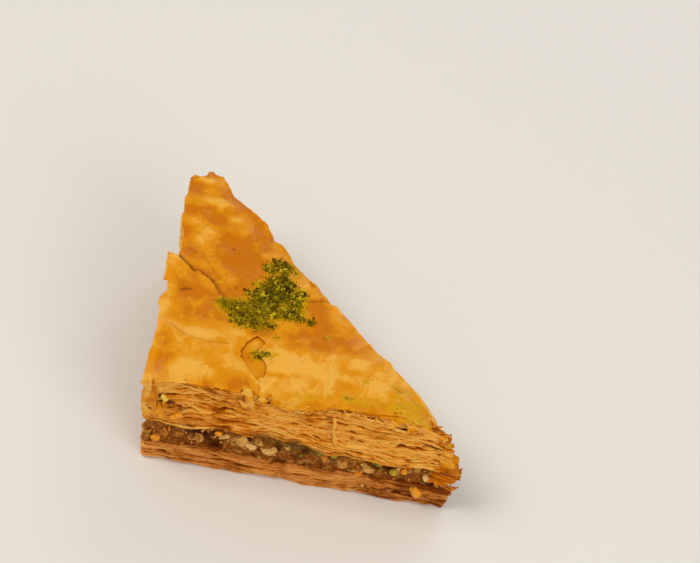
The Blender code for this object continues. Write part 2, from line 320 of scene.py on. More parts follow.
# %% [markdown]
# ## Shared effect: leaf lines
#
# Where filo is cut, each leaf shows as a hair-thin line, and butter and syrup run between them.
# Noise that is stretched sideways and squeezed in height gives such lines on every cut side at
# once. The mask darkens the seams, and the height feeds a Bump node.

# %% Leaf lines group


def leaf_lines_group():
    inputs = {"Position": (VECTOR, None), "Pitch": (FLOAT, 0.3 * MM), "Length": (FLOAT, 6 * MM)}
    outputs = {"Mask": FLOAT, "Height": FLOAT}
    tree, given, result = new_group("leaf_lines", "ShaderNodeTree", inputs, outputs)
    flat = calc(tree, "DIVIDE", 1, given.outputs["Length"])
    fine = calc(tree, "DIVIDE", 1, given.outputs["Pitch"])
    size = add_node(tree, "ShaderNodeCombineXYZ", {0: flat, 1: flat, 2: fine}).outputs[0]
    stretched = vector_calc(tree, "MULTIPLY", given.outputs["Position"], size)
    lines = noise_value(tree, stretched, 1, 3, 0.6, 0.4)
    tree.links.new(spread(tree, lines, 0.4, 0.62), result.inputs["Mask"])
    tree.links.new(lines, result.inputs["Height"])
    return tree


LEAF_LINES = leaf_lines_group()

# %% [markdown]
# ## Shared effect: syrup film
#
# Syrup lies on a piece in patches: some spots are wet and glossy, others have soaked it up and
# look dry. The group gives the strength of the clear coat and the roughness below it together, so
# wet and dry always agree.

# %% Syrup film group


def syrup_film_group():
    inputs = {"Position": (VECTOR, None), "Patch Size": (FLOAT, 6 * MM), "Wetness": (FLOAT, 0.5),
              "Dry Roughness": (FLOAT, 0.6), "Wet Roughness": (FLOAT, 0.3)}
    outputs = {"Coat": FLOAT, "Roughness": FLOAT}
    tree, given, result = new_group("syrup_film", "ShaderNodeTree", inputs, outputs)
    patch = noise_value(tree, given.outputs["Position"], given.outputs["Patch Size"], 3, 0.55)
    level = calc(tree, "ADD", patch, given.outputs["Wetness"])
    wet = spread(tree, level, 0.75, 1.25)
    dry = calc(tree, "SUBTRACT", 1, wet)
    rough_part = calc(tree, "MULTIPLY", dry, given.outputs["Dry Roughness"])
    roughness = calc(tree, "MULTIPLY_ADD", wet, given.outputs["Wet Roughness"], rough_part)
    tree.links.new(wet, result.inputs["Coat"])
    tree.links.new(roughness, result.inputs["Roughness"])
    return tree


SYRUP_FILM = syrup_film_group()

# %% [markdown]
# ## Shared effect: crumb grain
#
# A broken nut is never smooth: its broken faces are grainy, with small pits. The group mixes two
# sizes of noise into one height for Bump, and a mask that tints the grains.

# %% Crumb grain group


def crumb_grain_group():
    inputs = {"Position": (VECTOR, None), "Grain Size": (FLOAT, 0.4 * MM)}
    outputs = {"Mask": FLOAT, "Height": FLOAT}
    tree, given, result = new_group("crumb_grain", "ShaderNodeTree", inputs, outputs)
    grain = noise_value(tree, given.outputs["Position"], given.outputs["Grain Size"], 4, 0.7)
    scale = calc(tree, "DIVIDE", 1, given.outputs["Grain Size"])
    pits = add_node(tree, "ShaderNodeTexVoronoi", {
        "Vector": given.outputs["Position"], "Scale": scale})
    height = calc(tree, "ADD", grain, pits.outputs["Distance"])
    tree.links.new(spread(tree, grain, 0.35, 0.65), result.inputs["Mask"])
    tree.links.new(height, result.inputs["Height"])
    return tree


CRUMB_GRAIN = crumb_grain_group()

# %% [markdown]
# ## A base for every food material
#
# Food glows a little: light enters it and comes out again nearby. Every material here starts as a
# Principled BSDF with some subsurface scattering, whose red light travels furthest. What is the
# same all over is set on the shader's own sockets.

# %% Material helpers


def food_material(name, glow, reach, coat_roughness=0.15):
    """A material with its shader, and the place in the piece as a socket."""
    material = bpy.data.materials.new(name)
    material.use_nodes = True
    tree = material.node_tree
    shader = tree.nodes["Principled BSDF"]
    shader.inputs["Subsurface Weight"].default_value = glow
    shader.inputs["Subsurface Radius"].default_value = (1.0, 0.45, 0.15)
    shader.inputs["Subsurface Scale"].default_value = reach * MM
    shader.inputs["Specular IOR Level"].default_value = 0.3
    shader.inputs["Specular Tint"].default_value = paint(255, 195, 100)
    shader.inputs["Coat IOR"].default_value = 1.3
    shader.inputs["Coat Roughness"].default_value = coat_roughness
    position = add_node(tree, "ShaderNodeTexCoord").outputs["Object"]
    print("material:", name)
    return material, tree, shader, position


def use_group(tree, group, position, **inputs):
    """Places a group in a material. An underscore in a socket's name stands for a space."""
    made = add_node(tree, "ShaderNodeGroup", node_tree=group)
    tree.links.new(position, made.inputs["Position"])
    for name, value in inputs.items():
        socket = made.inputs[name.replace("_", " ")]
        if isinstance(value, bpy.types.NodeSocket):
            tree.links.new(value, socket)
        else:
            socket.default_value = value
    return made.outputs


def read_attribute(tree, name):
    """The number that the mesh stores under a name."""
    return add_node(tree, "ShaderNodeAttribute", attribute_name=name).outputs["Fac"]


def add_bump(tree, shader, height, distance, strength=1.0):
    """Fine relief from a height, as deep as the distance in millimetres."""
    bump = add_node(tree, "ShaderNodeBump", {
        "Height": height, "Distance": distance * MM, "Strength": strength})
    tree.links.new(bump.outputs["Normal"], shader.inputs["Normal"])


def wet_finish(tree, shader, position, **inputs):
    """Lets the syrup film set the coat and the roughness."""
    film = use_group(tree, SYRUP_FILM, position, **inputs)
    tree.links.new(film["Coat"], shader.inputs["Coat Weight"])
    tree.links.new(film["Roughness"], shader.inputs["Roughness"])


# %% [markdown]
# ## The crust's finish
#
# The top leaves are the brownest, and the syrup makes them glossy. Their colour follows how
# firmly they are stuck down. Large noise with a sharp border marks where a paper-thin skin has
# peeled. The mesh adds painted shadow at the torn edges and painted shade on the low side of
# creases, pistachio stains and burnt specks, and faint fibres in the dough give the gloss
# something to break on.

# %% Crust material


def crust_material():
    material, tree, shader, position = food_material("crust", 0.12, 1.2, 0.25)
    islands = noise_value(tree, position, 7 * MM, 3, 0.45, 0.6)
    peeled = spread(tree, islands, 0.475, 0.5)
    rim = calc(tree, "MULTIPLY", peeled, spread(tree, islands, 0.55, 0.5))
    stuck = calc(tree, "MULTIPLY_ADD", peeled, -0.1, read_attribute(tree, "stuck"))
    stuck = calc(tree, "MULTIPLY_ADD", rim, -0.1, stuck)
    brown = use_group(tree, BROWNING, position, Stuck=calc(tree, "ADD", stuck, 0.08),
                      Mottle_Size=2.6 * MM, Mottle=0.9, Pale=paint(240, 174, 66),
                      Golden=paint(225, 143, 6), Deep=paint(202, 112, 0))
    # Painted shadow and painted shade from the mesh, mixed in as dark amber.
    amber = blend(tree, read_attribute(tree, "amber"), brown["Color"], paint(136, 60, 0))
    green = read_attribute(tree, "green")
    dusted = blend(tree, spread(tree, green, 0.0, 0.45), amber, paint(210, 152, 2))
    dusted = blend(tree, spread(tree, green, 0.4, 0.9), dusted, paint(132, 112, 4))
    color = blend(tree, read_attribute(tree, "speck"), dusted, paint(120, 40, 4))
    tree.links.new(color, shader.inputs["Base Color"])
    wet_finish(tree, shader, position, Patch_Size=5 * MM, Wetness=0.38, Dry_Roughness=0.55,
               Wet_Roughness=0.4)
    fibres = noise_value(tree, position, 0.7 * MM, 5, 0.6)
    add_bump(tree, shader, calc(tree, "MULTIPLY_ADD", peeled, 0.5, fibres), 0.12, 0.6)
    return material


CRUST = crust_material()

# %% [markdown]
# ## The cut leaves' finish
#
# Seen from the side, the leaves are pale tan at their crisp edges and painted amber deeper in,
# for the shade between the leaves and the light that has passed through several soaked leaves.
# The mesh stores how near each point is to the outer edge, and each leaf's own tone, so that no
# two leaves match.

# %% Cut leaf material


def cut_leaf_material(name, pale, golden, deep, wetness, bias):
    material, tree, shader, position = food_material(name, 0.15, 1.2)
    lines = use_group(tree, LEAF_LINES, position, Pitch=0.26 * MM, Length=5 * MM)
    # Painted shade: the leaves darken deeper in from their outer edge.
    inside = spread(tree, read_attribute(tree, "rim"), 0.98, 0.62)
    tone = calc(tree, "MULTIPLY", read_attribute(tree, "tone"), 0.45)
    stuck = calc(tree, "MULTIPLY_ADD", inside, 0.75, tone)
    stuck = calc(tree, "MULTIPLY_ADD", lines["Mask"], -0.3, stuck)
    stuck = calc(tree, "ADD", stuck, bias)
    stuck = calc(tree, "ADD", stuck, read_attribute(tree, "shade"))
    brown = use_group(tree, BROWNING, position, Stuck=stuck, Mottle_Size=4 * MM, Mottle=1.5,
                      Pale=pale, Golden=golden, Deep=deep)
    # Olive: the nuts' oil and painted shade near the seam above the filling.
    color = blend(tree, read_attribute(tree, "olive"), brown["Color"], paint(124, 82, 28))
    tree.links.new(color, shader.inputs["Base Color"])
    wet_finish(tree, shader, position, Patch_Size=3 * MM, Wetness=wetness, Dry_Roughness=0.6,
               Wet_Roughness=0.35)
    add_bump(tree, shader, lines["Height"], 0.12, 0.7)
    return material


UPPER_LEAF = cut_leaf_material("upper_leaf", paint(252, 186, 80), paint(228, 138, 24),
                               paint(170, 84, 2), 0.3, 0.07)
BOTTOM_LEAF = cut_leaf_material("bottom_leaf", paint(232, 158, 76), paint(196, 116, 40),
                                paint(130, 60, 6), 0.4, 0.12)

# %% [markdown]
# ## The outline of the piece
#
# The knife cut the front and the left side straight, but the long cut tore the crisp leaves, and
# both ends are chipped. A few dozen corners trace that. Walking along them in equal steps gives
# the points of every ring, and a little noise makes the line ragged.

# %% Outline
FRONT_CUT = ((0.4, 0.0), (18, 0.2), (40, -0.2), (58, 0.1), (72.3, -0.2))
RIGHT_END = ((72.9, 0.6), (72.4, 1.4), (69.9, 3.2), (70.2, 4.3))
LONG_CUT = (
    (66.2, 9.3), (62.0, 13.1), (59.5, 15.2), (58.0, 17.5), (56.4, 18.1), (52.7, 21.8),
    (46.4, 28.2), (43.6, 30.8), (41.2, 32.6), (39.3, 34.7), (37.3, 37.4), (34.4, 39.4),
    (30.2, 43.6), (27.9, 47.0), (26.4, 48.9), (23.9, 50.2), (22.8, 52.8), (21.2, 55.2),
    (18.2, 57.6), (13.2, 61.0), (11.9, 61.9), (10.7, 64.0), (9.2, 66.4),
)
BACK_TIP = ((7.9, 68.1), (5.7, 68.5), (5.0, 69.3), (3.9, 69.0), (3.7, 67.4), (2.4, 66.3),
            (0.6, 66.6), (-0.3, 65.2))
LEFT_BACK = ((0.1, 60.1), (-0.4, 58.8), (0.3, 54.0), (-0.3, 53.0), (1.4, 46.9), (1.6, 40.0))
LEFT_FRONT = ((1.0, 30.0), (0.6, 18.0), (0.5, 8.0), (0.2, 1.5))
OUTLINE = FRONT_CUT + RIGHT_END + LONG_CUT + BACK_TIP + LEFT_BACK + LEFT_FRONT
HEART = (25.0, 22.0)
TIP_ROOM = 5.0
NEIGHBOURS = 3


def walk(corners, step, ragged=0.0, plane=0.0, closed=True):
    """Points along the corners in equal steps, pushed sideways by some noise."""
    ends = corners[1:] + corners[:1] if closed else corners[1:]
    points = []
    for (ax, ay), (bx, by) in zip(corners, ends):
        length = hypot(bx - ax, by - ay)
        count = max(1, round(length / step))
        for index in range(count):
            share = index / count
            x, y = ax + (bx - ax) * share, ay + (by - ay) * share
            push = ragged * (ripple(x, y, 0.9, plane) + 0.8 * ripple(x, y, 2.6, plane + 5))
            points.append((x + push * (by - ay) / length, y - push * (bx - ax) / length))
    if not closed:
        points.append(tuple(corners[-1]))
    return points


def outward(points):
    """The outward direction at each point of a closed ring, from the points around it."""
    directions = []
    for index in range(len(points)):
        ax, ay = points[index - NEIGHBOURS]
        bx, by = points[(index + NEIGHBOURS) % len(points)]
        length = hypot(bx - ax, by - ay)
        directions.append(Vector(((by - ay) / length, (ax - bx) / length, 0)))
    return directions


def inwards(x, y, depth):
    """A plan point, moved towards the middle of the piece by a depth."""
    share = depth / hypot(HEART[0] - x, HEART[1] - y)
    return x + (HEART[0] - x) * share, y + (HEART[1] - y) * share


def end_distance(x, y):
    """The way to the sharp right end."""
    return hypot(x - RIGHT_END[0][0], y)


def tip_room(x, y):
    """A factor for what moves the walls: less near the sharp end, where the piece is narrow."""
    return min(1, 0.15 + end_distance(x, y) / TIP_ROOM)


print("outline corners:", len(OUTLINE))

# %% [markdown]
# ## The stack of cut leaves
#
# Dozens of leaves show on each cut side. Only their outer few millimetres can be seen, so one
# leaf is a thin closed band round the outline, and the rest of the leaf is left out. Making each
# by hand would be slow. Instead Geometry Nodes copies one band, and noise fields move each copy:
# neighbours lean together into clumps, edges stand out or break back, and gaps open and close.

# %% One leaf band
BAND_DEPTH = 5.0
LEAF_THICKNESS = 0.26
BEVEL = 0.09
BAND_SECTION = ((0, 0), (BEVEL, 0.5), (BAND_DEPTH, 0.5), (BAND_DEPTH, -0.5), (BEVEL, -0.5))


def leaf_band(name, low, high, step, tint):
    """One thin closed band round the outline, with what the stack needs stored on its points."""
    ring = walk(OUTLINE, step)
    points, lows, highs, rims, shades, sides = [], [], [], [], [], []
    for (x, y), side in zip(ring, outward(ring)):
        for depth, lift in BAND_SECTION:
            px, py = inwards(x, y, depth)
            points.append(place(px, py, lift * LEAF_THICKNESS))
            lows.append(low(px, py) * MM)
            highs.append(high(px, py) * MM)
            rims.append(1 - depth / BAND_DEPTH)
            shades.append(tint(x) + 0.3 * ripple(x, y, 9, 6.5))
            sides.append(side * tip_room(x, y))
    size, count = len(BAND_SECTION), len(ring)
    faces = []
    for i in range(count):
        for k in range(size):
            a, b = i * size, (i + 1) % count * size
            n = (k + 1) % size
            faces.append((a + k, b + k, b + n, a + n))
    band = new_piece(name, points, faces)
    set_attributes(band, low=lows, high=highs, rim=rims, shade=shades, side=sides)
    return band


print("points across a band:", len(BAND_SECTION))

# %% Fields for the leaves


def noise_field(tree, position, size, step, leaf, seed, detail=1.0):
    """Three noises at once, as a vector around zero that changes from leaf to leaf."""
    scale = calc(tree, "DIVIDE", 1, size)
    flat = add_node(tree, "ShaderNodeVectorMath", {0: position, "Scale": scale},
                    operation="SCALE").outputs[0]
    shift = calc(tree, "MULTIPLY_ADD", leaf, step, seed)
    offset = add_node(tree, "ShaderNodeCombineXYZ", {2: shift}).outputs[0]
    where = vector_calc(tree, "ADD", flat, offset)
    texture = add_node(tree, "ShaderNodeTexNoise", {"Vector": where, "Scale": 1.0,
                                                    "Detail": detail})
    centred = vector_calc(tree, "SUBTRACT", texture.outputs["Color"], (0.5, 0.5, 0.5))
    return add_node(tree, "ShaderNodeSeparateXYZ", {0: centred}).outputs


def read_field(tree, name, kind="FLOAT"):
    """A named attribute as a field in Geometry Nodes."""
    made = add_node(tree, "GeometryNodeInputNamedAttribute", {"Name": name}, data_type=kind)
    return made.outputs["Attribute"]


# %% Copies of the leaf


def copy_leaves(tree, given):
    """Copies of the band, one for each leaf, with its number and tone stored on it."""
    line = add_node(tree, "GeometryNodeMeshLine", {
        "Count": given.outputs["Leaves"], "Offset": (0, 0, 0)})
    copies = add_node(tree, "GeometryNodeInstanceOnPoints", {
        "Points": line.outputs[0], "Instance": given.outputs["Band"]})
    number = add_node(tree, "GeometryNodeInputIndex").outputs[0]
    marked = add_node(tree, "GeometryNodeStoreNamedAttribute", {
        "Geometry": copies.outputs[0], "Name": "leaf", "Value": number}, domain="INSTANCE")
    tone = add_node(tree, "FunctionNodeRandomValue", {"Seed": given.outputs["Seed"]})
    toned = add_node(tree, "GeometryNodeStoreNamedAttribute", {
        "Geometry": marked.outputs[0], "Name": "tone", "Value": tone.outputs[1]},
        domain="INSTANCE")
    return add_node(tree, "GeometryNodeRealizeInstances", {0: toned.outputs[0]}).outputs[0]


# %% [markdown]
# ### How a leaf's edge moves
#
# A real edge is the sum of a few habits. The knife wanders, and takes all leaves with it. Each
# leaf then stands out or back by itself, frays over less than a millimetre, and has a notch where
# a piece broke off. Four noises of different sizes add up to that, and two limits keep the result
# inside the piece.

# %% Edges of the leaves


def leaf_offset(tree, given, position, leaf, seed):
    """How far each point of a leaf's edge moves out from the outline."""
    knife = noise_field(tree, position, 15 * MM, 0.0, leaf, seed)
    own = noise_field(tree, position, 7 * MM, 0.5, leaf, seed)
    frayed = noise_field(tree, position, 0.9 * MM, 7.3, leaf, seed)
    distance = calc(tree, "MULTIPLY", knife[0], given.outputs["Wander"])
    distance = calc(tree, "MULTIPLY_ADD", own[0], given.outputs["Ledge"], distance)
    distance = calc(tree, "MULTIPLY_ADD", frayed[0], given.outputs["Fray"], distance)
    broken = spread(tree, own[1], 0.1, 0.2)
    notch = calc(tree, "MULTIPLY", broken, given.outputs["Notch"])
    distance = calc(tree, "SUBTRACT", distance, notch)
    distance = calc(tree, "MULTIPLY", distance, read_field(tree, "rim"))
    distance = calc(tree, "SUBTRACT", distance, given.outputs["Inset"])
    distance = calc(tree, "MINIMUM", distance, given.outputs["Proud"])
    side = read_field(tree, "side", "FLOAT_VECTOR")
    return add_node(tree, "ShaderNodeVectorMath", {0: side, "Scale": distance},
                    operation="SCALE").outputs[0]


# %% Levels of the leaves


def leaf_height(tree, given, position, leaf, seed):
    """The height of each point of a leaf: its share of the stack, clumped and waved."""
    share = calc(tree, "DIVIDE", calc(tree, "ADD", leaf, 0.5), given.outputs["Leaves"])
    low, high = read_field(tree, "low"), read_field(tree, "high")
    level = calc(tree, "MULTIPLY_ADD", calc(tree, "SUBTRACT", high, low), share, low)
    from_end = calc(tree, "MULTIPLY", share, calc(tree, "SUBTRACT", 1, share))
    window = calc(tree, "MINIMUM", calc(tree, "MULTIPLY", from_end, 6), 1)
    sweep = noise_field(tree, position, 21 * MM, 0.06, leaf, seed)
    clump = noise_field(tree, position, 9 * MM, 0.34, leaf, seed)
    wave = noise_field(tree, position, 3.4 * MM, 1.3, leaf, seed)
    moved = calc(tree, "MULTIPLY", clump[2], given.outputs["Clump"])
    moved = calc(tree, "MULTIPLY_ADD", sweep[1], given.outputs["Sweep"], moved)
    moved = calc(tree, "MULTIPLY_ADD", wave[2], given.outputs["Wave"], moved)
    return calc(tree, "MULTIPLY_ADD", moved, window, level)


# %% Leaf stack tree


def leaf_stack_tree():
    inputs = {
        "Band": (GEOMETRY, None), "Leaves": (INTEGER, 24), "Wander": (FLOAT, 1 * MM),
        "Ledge": (FLOAT, 2 * MM), "Fray": (FLOAT, 0.5 * MM), "Notch": (FLOAT, 2 * MM),
        "Inset": (FLOAT, 0.0), "Proud": (FLOAT, 0.3 * MM), "Clump": (FLOAT, 2 * MM),
        "Wave": (FLOAT, 0.5 * MM), "Sweep": (FLOAT, 2 * MM), "Zones": (FLOAT, 1.0),
        "Seed": (INTEGER, 1), "Finish": (MATERIAL, None),
    }
    tree, given, result = new_group("leaf_stack", "GeometryNodeTree", inputs,
                                    {"Leaves": GEOMETRY})
    leaves = copy_leaves(tree, given)
    position = add_node(tree, "GeometryNodeInputPosition").outputs[0]
    leaf, seed = read_field(tree, "leaf"), calc(tree, "MULTIPLY", given.outputs["Seed"], 13.7)
    height = leaf_height(tree, given, position, leaf, seed)
    moved = vector_calc(tree, "ADD", position, leaf_offset(tree, given, position, leaf, seed))
    x, y, z = add_node(tree, "ShaderNodeSeparateXYZ", {0: moved}).outputs
    depth = calc(tree, "DIVIDE", calc(tree, "SUBTRACT", HEIGHT * MM, height), HEIGHT * MM)
    bend = calc(tree, "MULTIPLY_ADD", depth, -END_CURVE, END_SPREAD)
    stretch = calc(tree, "MULTIPLY_ADD", bend, depth, 1)
    from_corner = calc(tree, "SUBTRACT", x, CORNER.x)
    x = calc(tree, "MULTIPLY_ADD", from_corner, stretch, CORNER.x)
    target = add_node(tree, "ShaderNodeCombineXYZ", {
        0: x, 1: y, 2: calc(tree, "ADD", z, height)}).outputs[0]
    zone = noise_field(tree, position, 7 * MM, 0.26, leaf, calc(tree, "ADD", seed, 5), 2.0)
    shade = calc(tree, "MULTIPLY_ADD", zone[0], given.outputs["Zones"], read_field(tree, "shade"))
    shaded = add_node(tree, "GeometryNodeStoreNamedAttribute", {
        "Geometry": leaves, "Name": "shade", "Value": shade}, domain="POINT")
    set_place = add_node(tree, "GeometryNodeSetPosition", {"Geometry": shaded.outputs[0],
                                                          "Position": target})
    painted = add_node(tree, "GeometryNodeSetMaterial", {
        "Geometry": set_place.outputs[0], "Material": given.outputs["Finish"]})
    tree.links.new(painted.outputs[0], result.inputs["Leaves"])
    return tree


LEAF_STACK = leaf_stack_tree()

# %% [markdown]
# ### From a tree to a plain mesh
#
# The export knows meshes, and no modifiers. The tree runs once, its result is copied into a
# mesh of its own with no modifiers, and the source is thrown away. The inputs are set by the
# identifiers of their sockets, because two sockets may share a name, but never an identifier.

# %% Running a tree


def apply_nodes(source, name, tree, values):
    """Runs a Geometry Nodes tree on the source, and returns the result as a plain mesh piece."""
    modifier = source.modifiers.new(tree.name, "NODES")
    modifier.node_group = tree
    for item in tree.interface.items_tree:
        if item.in_out == "INPUT" and item.name in values:
            modifier[item.identifier] = values[item.name]
    graph = bpy.context.evaluated_depsgraph_get()
    mesh = bpy.data.meshes.new_from_object(source.evaluated_get(graph))
    source.modifiers.remove(modifier)
    bpy.data.objects.remove(source)
    mesh.name = name
    piece = bpy.data.objects.new(name, mesh)
    bpy.context.scene.collection.objects.link(piece)
    return piece


# %% [markdown]
# ### Upper and bottom leaves
#
# The same tree makes both stacks. Each has its own levels, its own number of leaves, and its own
# wildness: the upper leaves are crisp and lean together in big clumps, while the bottom ones are
# soaked and lie flat. Low in the middle of the front the upper leaves turn olive, partly from the
# nuts' oil and partly from painted shade near the seam above the filling. That is worked out point
# by point, once the leaves are in place.

# %% Levels and tones of the stacks
CRUST_DEPTH = 0.75
FLOOR_GAP = 0.15


def crust_underside(x, y):
    return top_level(x, y) - CRUST_DEPTH


def floor_level(x, y):
    return FLOOR_GAP


def clamp(value, high=1):
    return max(0, min(high, value))


def rise(value, middle, width):
    """A soft step from 0 to 1."""
    return 1 / (1 + exp((middle - value) / width))


def upper_tint(x):
    """The upper leaves are browner to the left and paler to the right."""
    return 0.26 * bell(x, 16, 12) - 0.16 * rise(x, 50, 4)


def bottom_tint(x):
    """The bottom leaves are darkest under the sharp end, where the syrup collects."""
    return 0.06 + 0.42 * rise(x, 61, 2.5)


def measured(spot):
    """A place in the frame, in millimetres from the square corner."""
    return (spot - CORNER) / MM


def oil_and_painted_shade(x, y, z):
    """Olive on the lowest upper leaves mid-front: the nuts' oil, and painted shade by the seam."""
    seam = bell(max(0, z - sagging_top(x, y) - 0.6), 0, 1.8)
    front = bell(x, 38, 12) * bell(y, 0, 7)
    return clamp(seam * front * (0.75 + 0.9 * ripple(x / 3, z, 0.9, 2.8)), 0.9)


print("the crust's tint at the left and right:", round(upper_tint(5), 2), round(upper_tint(65), 2))

# %% Upper and bottom leaves
upper_leaves = apply_nodes(
    leaf_band("upper_band", sagging_top, crust_underside, 0.46, upper_tint),
    "upper_leaves", LEAF_STACK,
    {"Leaves": 34, "Wander": 1.6 * MM, "Ledge": 3.4 * MM, "Fray": 0.6 * MM, "Notch": 1.4 * MM,
     "Inset": 0.1 * MM, "Proud": 0.25 * MM, "Clump": 5.4 * MM, "Wave": 0.8 * MM,
     "Sweep": 4.6 * MM, "Zones": 0.8, "Seed": 3, "Finish": UPPER_LEAF})
oil_and_shade = [oil_and_painted_shade(*measured(vertex.co)) for vertex in upper_leaves.data.vertices]
set_attributes(upper_leaves, olive=oil_and_shade)
finish_piece(upper_leaves, "top_pastry")

bottom_leaves = apply_nodes(
    leaf_band("bottom_band", floor_level, sagging_bottom, 0.5, bottom_tint),
    "bottom_leaves", LEAF_STACK,
    {"Leaves": 13, "Wander": 1.2 * MM, "Ledge": 3.0 * MM, "Fray": 0.6 * MM, "Notch": 1.6 * MM,
     "Inset": 0.2 * MM, "Clump": 2.2 * MM, "Wave": 0.9 * MM, "Sweep": 1.6 * MM, "Zones": 0.8,
     "Seed": 8, "Finish": BOTTOM_LEAF})
finish_piece(bottom_leaves, "bottom_pastry")

# %% [markdown]
# ## The body behind the leaves
#
# Through the gaps between the leaves one must never see daylight. Behind them stands a plain body
# of syrup-soaked dough, painted dark as the shade deep between the leaves. Its walls follow the
# same outline, set back further than the deepest notch. The filling is made by the same function,
# with lumps on its walls, the hollows that the photograph shows, and a seam where it has shrunk
# away from the leaves.

# %% Body builder
# Each hollow of the filling: its centre, its radius and its depth
FILLING_POCKETS = (
    (12.0, 0.8, 15.0, 1.5, 1.8), (13.8, 0.8, 14.8, 1.8, 2.4), (15.8, 0.8, 14.2, 1.8, 2.4),
    (17.4, 0.8, 12.4, 1.5, 2.0), (18.6, 0.8, 10.2, 2.1, 2.6), (26.8, 0.8, 15.4, 1.3, 1.4),
    (34.6, 0.8, 13.2, 1.3, 1.4), (41.6, 0.8, 14.4, 1.2, 1.2), (60.0, 0.8, 14.2, 1.9, 2.0),
    (62.6, 0.8, 13.4, 1.6, 1.8), (73.6, 0.8, 10.2, 2.2, 1.8),
)
NUT_SIZE = 2.4
SHARP_PULL, SHARP_ROOM = 2.2, 7.0
SEAM_DEPTH, SEAM_HEIGHT = 0.8, 1.1


def ring_faces(rows, count):
    """Faces between rows of points that each run once round the piece."""
    faces = []
    for row in range(rows):
        for i in range(count):
            a, b = row * count + i, row * count + (i + 1) % count
            faces.append((a, b, b + count, a + count))
    return faces


def body(name, low, high, rows, set_back, bulge, step):
    """A closed body between two levels, with its walls pushed by a function of place."""
    ring = walk(OUTLINE, step)
    directions = outward(ring)
    count = len(ring)
    points, faces = [], ring_faces(rows, count)
    for row in range(rows + 1):
        share = row / rows
        for (x, y), side in zip(ring, directions):
            sharp = bell(end_distance(x, y), 0, SHARP_ROOM)
            px, py = inwards(x, y, set_back * (1 + SHARP_PULL * sharp))
            z = low(px, py) + (high(px, py) - low(px, py)) * share
            stretch = end_stretch(z)
            push = bulge(px * stretch, py, z) * tip_room(x, y)
            points.append(place((px + side.x * push) * stretch, py + side.y * push, z))
    for row, order in ((0, -1), (rows, 1)):
        level = (low, high)[row > 0]
        points.append(place(*HEART, level(*HEART)))
        for i in range(count):
            edge = (row * count + i, row * count + (i + 1) % count)[::order]
            faces.append((*edge, len(points) - 1))
    return new_piece(name, points, faces)


# %% Walls of the filling


def nut_cell(x, y, z):
    """Which chopped nut of the filling a place is in: how near its edge, and its own tone."""
    warp = 0.5 * noise.noise(Vector((x, y, z)) / 1.3)
    distances, middles = noise.voronoi(Vector((x + warp, y, z * 1.2 - warp)) / NUT_SIZE)
    nearest = middles[0]
    tone = 0.5 + 0.5 * cos(41.3 * nearest.x + 17.9 * nearest.y + 71.7 * nearest.z)
    return distances[1] - distances[0], tone


def ceiling(x, y, z):
    """How near a place is to the seam below the upper leaves, where the filling has shrunk."""
    return bell(z, sagging_top(x, y), SEAM_HEIGHT)


def filling_bulge(x, y, z):
    """Chopped nuts and hollows on the filling's walls."""
    spot = Vector((x, y, z))
    gap, tone = nut_cell(x, y, z)
    push = 0.9 * noise.noise(spot / 2.9) + 0.3 * noise.noise(spot / 0.9)
    push += (0.3 + 0.6 * tone) * min(1, gap / 0.45) - 0.4
    for px, py, pz, radius, depth in FILLING_POCKETS:
        away = hypot(x - px, y - py, z - pz) / radius
        push -= depth * exp(-away * away)
    return push - SEAM_DEPTH * ceiling(x, y, z)


def pocket_reaches(x, y, z):
    """The way to the middle of each pocket, 1 at its rim. Deep places count as higher ones."""
    return [hypot(x - px, z + 1.2 * y - pz) / radius for px, _, pz, radius, _ in FILLING_POCKETS]


print("hollows in the filling:", len(FILLING_POCKETS))

# %% [markdown]
# ### The body's finish
#
# Dough that is soaked through is dark and moist, and nothing on it stands out. The filling uses
# the same material with more in it: the mesh stores for each point how far it is inside a nut,
# that nut's tone, how olive the paste is from oil and painted shade, and how much painted shade
# it gets deep in a hollow or at the seam below the leaves.

# %% Body finish


def color_ramp(tree, value, stops):
    """A colour for each value from 0 to 1."""
    ramp = add_node(tree, "ShaderNodeValToRGB", {0: value})
    elements = ramp.color_ramp.elements
    while len(elements) < len(stops):
        elements.new(0.5)
    for element, (share, color) in zip(elements, stops):
        element.position = share
        element.color = color
    return ramp.outputs["Color"]


def soaked_material(name, light, dark, nuts=None):
    """Dark, moist dough. With colours for nuts, it follows what the mesh stores about them."""
    material, tree, shader, position = food_material(name, 0.1, 1.0)
    grain = use_group(tree, CRUMB_GRAIN, position, Grain_Size=0.9 * MM)
    color = blend(tree, grain["Mask"], dark, light)
    if nuts:
        tone = calc(tree, "MULTIPLY_ADD", grain["Mask"], 0.4, read_attribute(tree, "tone"))
        nut = color_ramp(tree, calc(tree, "SUBTRACT", tone, 0.2), nuts)
        color = blend(tree, spread(tree, read_attribute(tree, "nut"), 0.0, 0.45), color, nut)
        # Olive: the nuts' oil, and painted shade below the upper leaves.
        color = blend(tree, read_attribute(tree, "olive"), color, paint(118, 80, 26))
        # Painted shade: dark brown deep in the hollows and in the seam below the leaves.
        color = blend(tree, read_attribute(tree, "hollow"), color, paint(72, 22, 2))
    tree.links.new(color, shader.inputs["Base Color"])
    wet_finish(tree, shader, position, Patch_Size=2 * MM, Wetness=0.3, Dry_Roughness=0.65,
               Wet_Roughness=0.4)
    add_bump(tree, shader, grain["Height"], 0.3, 0.8)
    return material


# The core's dark colours are soaked dough, painted darker as the shade deep between the leaves.
SOAKED_SHADED_CORE = soaked_material("soaked_core", paint(186, 98, 12), paint(130, 60, 4))
NUT_PASTE = soaked_material("nut_paste", paint(162, 90, 20), paint(104, 48, 4), (
    (0.0, paint(98, 42, 4)), (0.25, paint(142, 76, 10)), (0.55, paint(168, 100, 26)),
    (0.8, paint(184, 124, 50)), (1.0, paint(202, 150, 76))))

# %% Cores and filling
CORE_DEPTH = 1.4
FRONT_DEPTH = 6.0


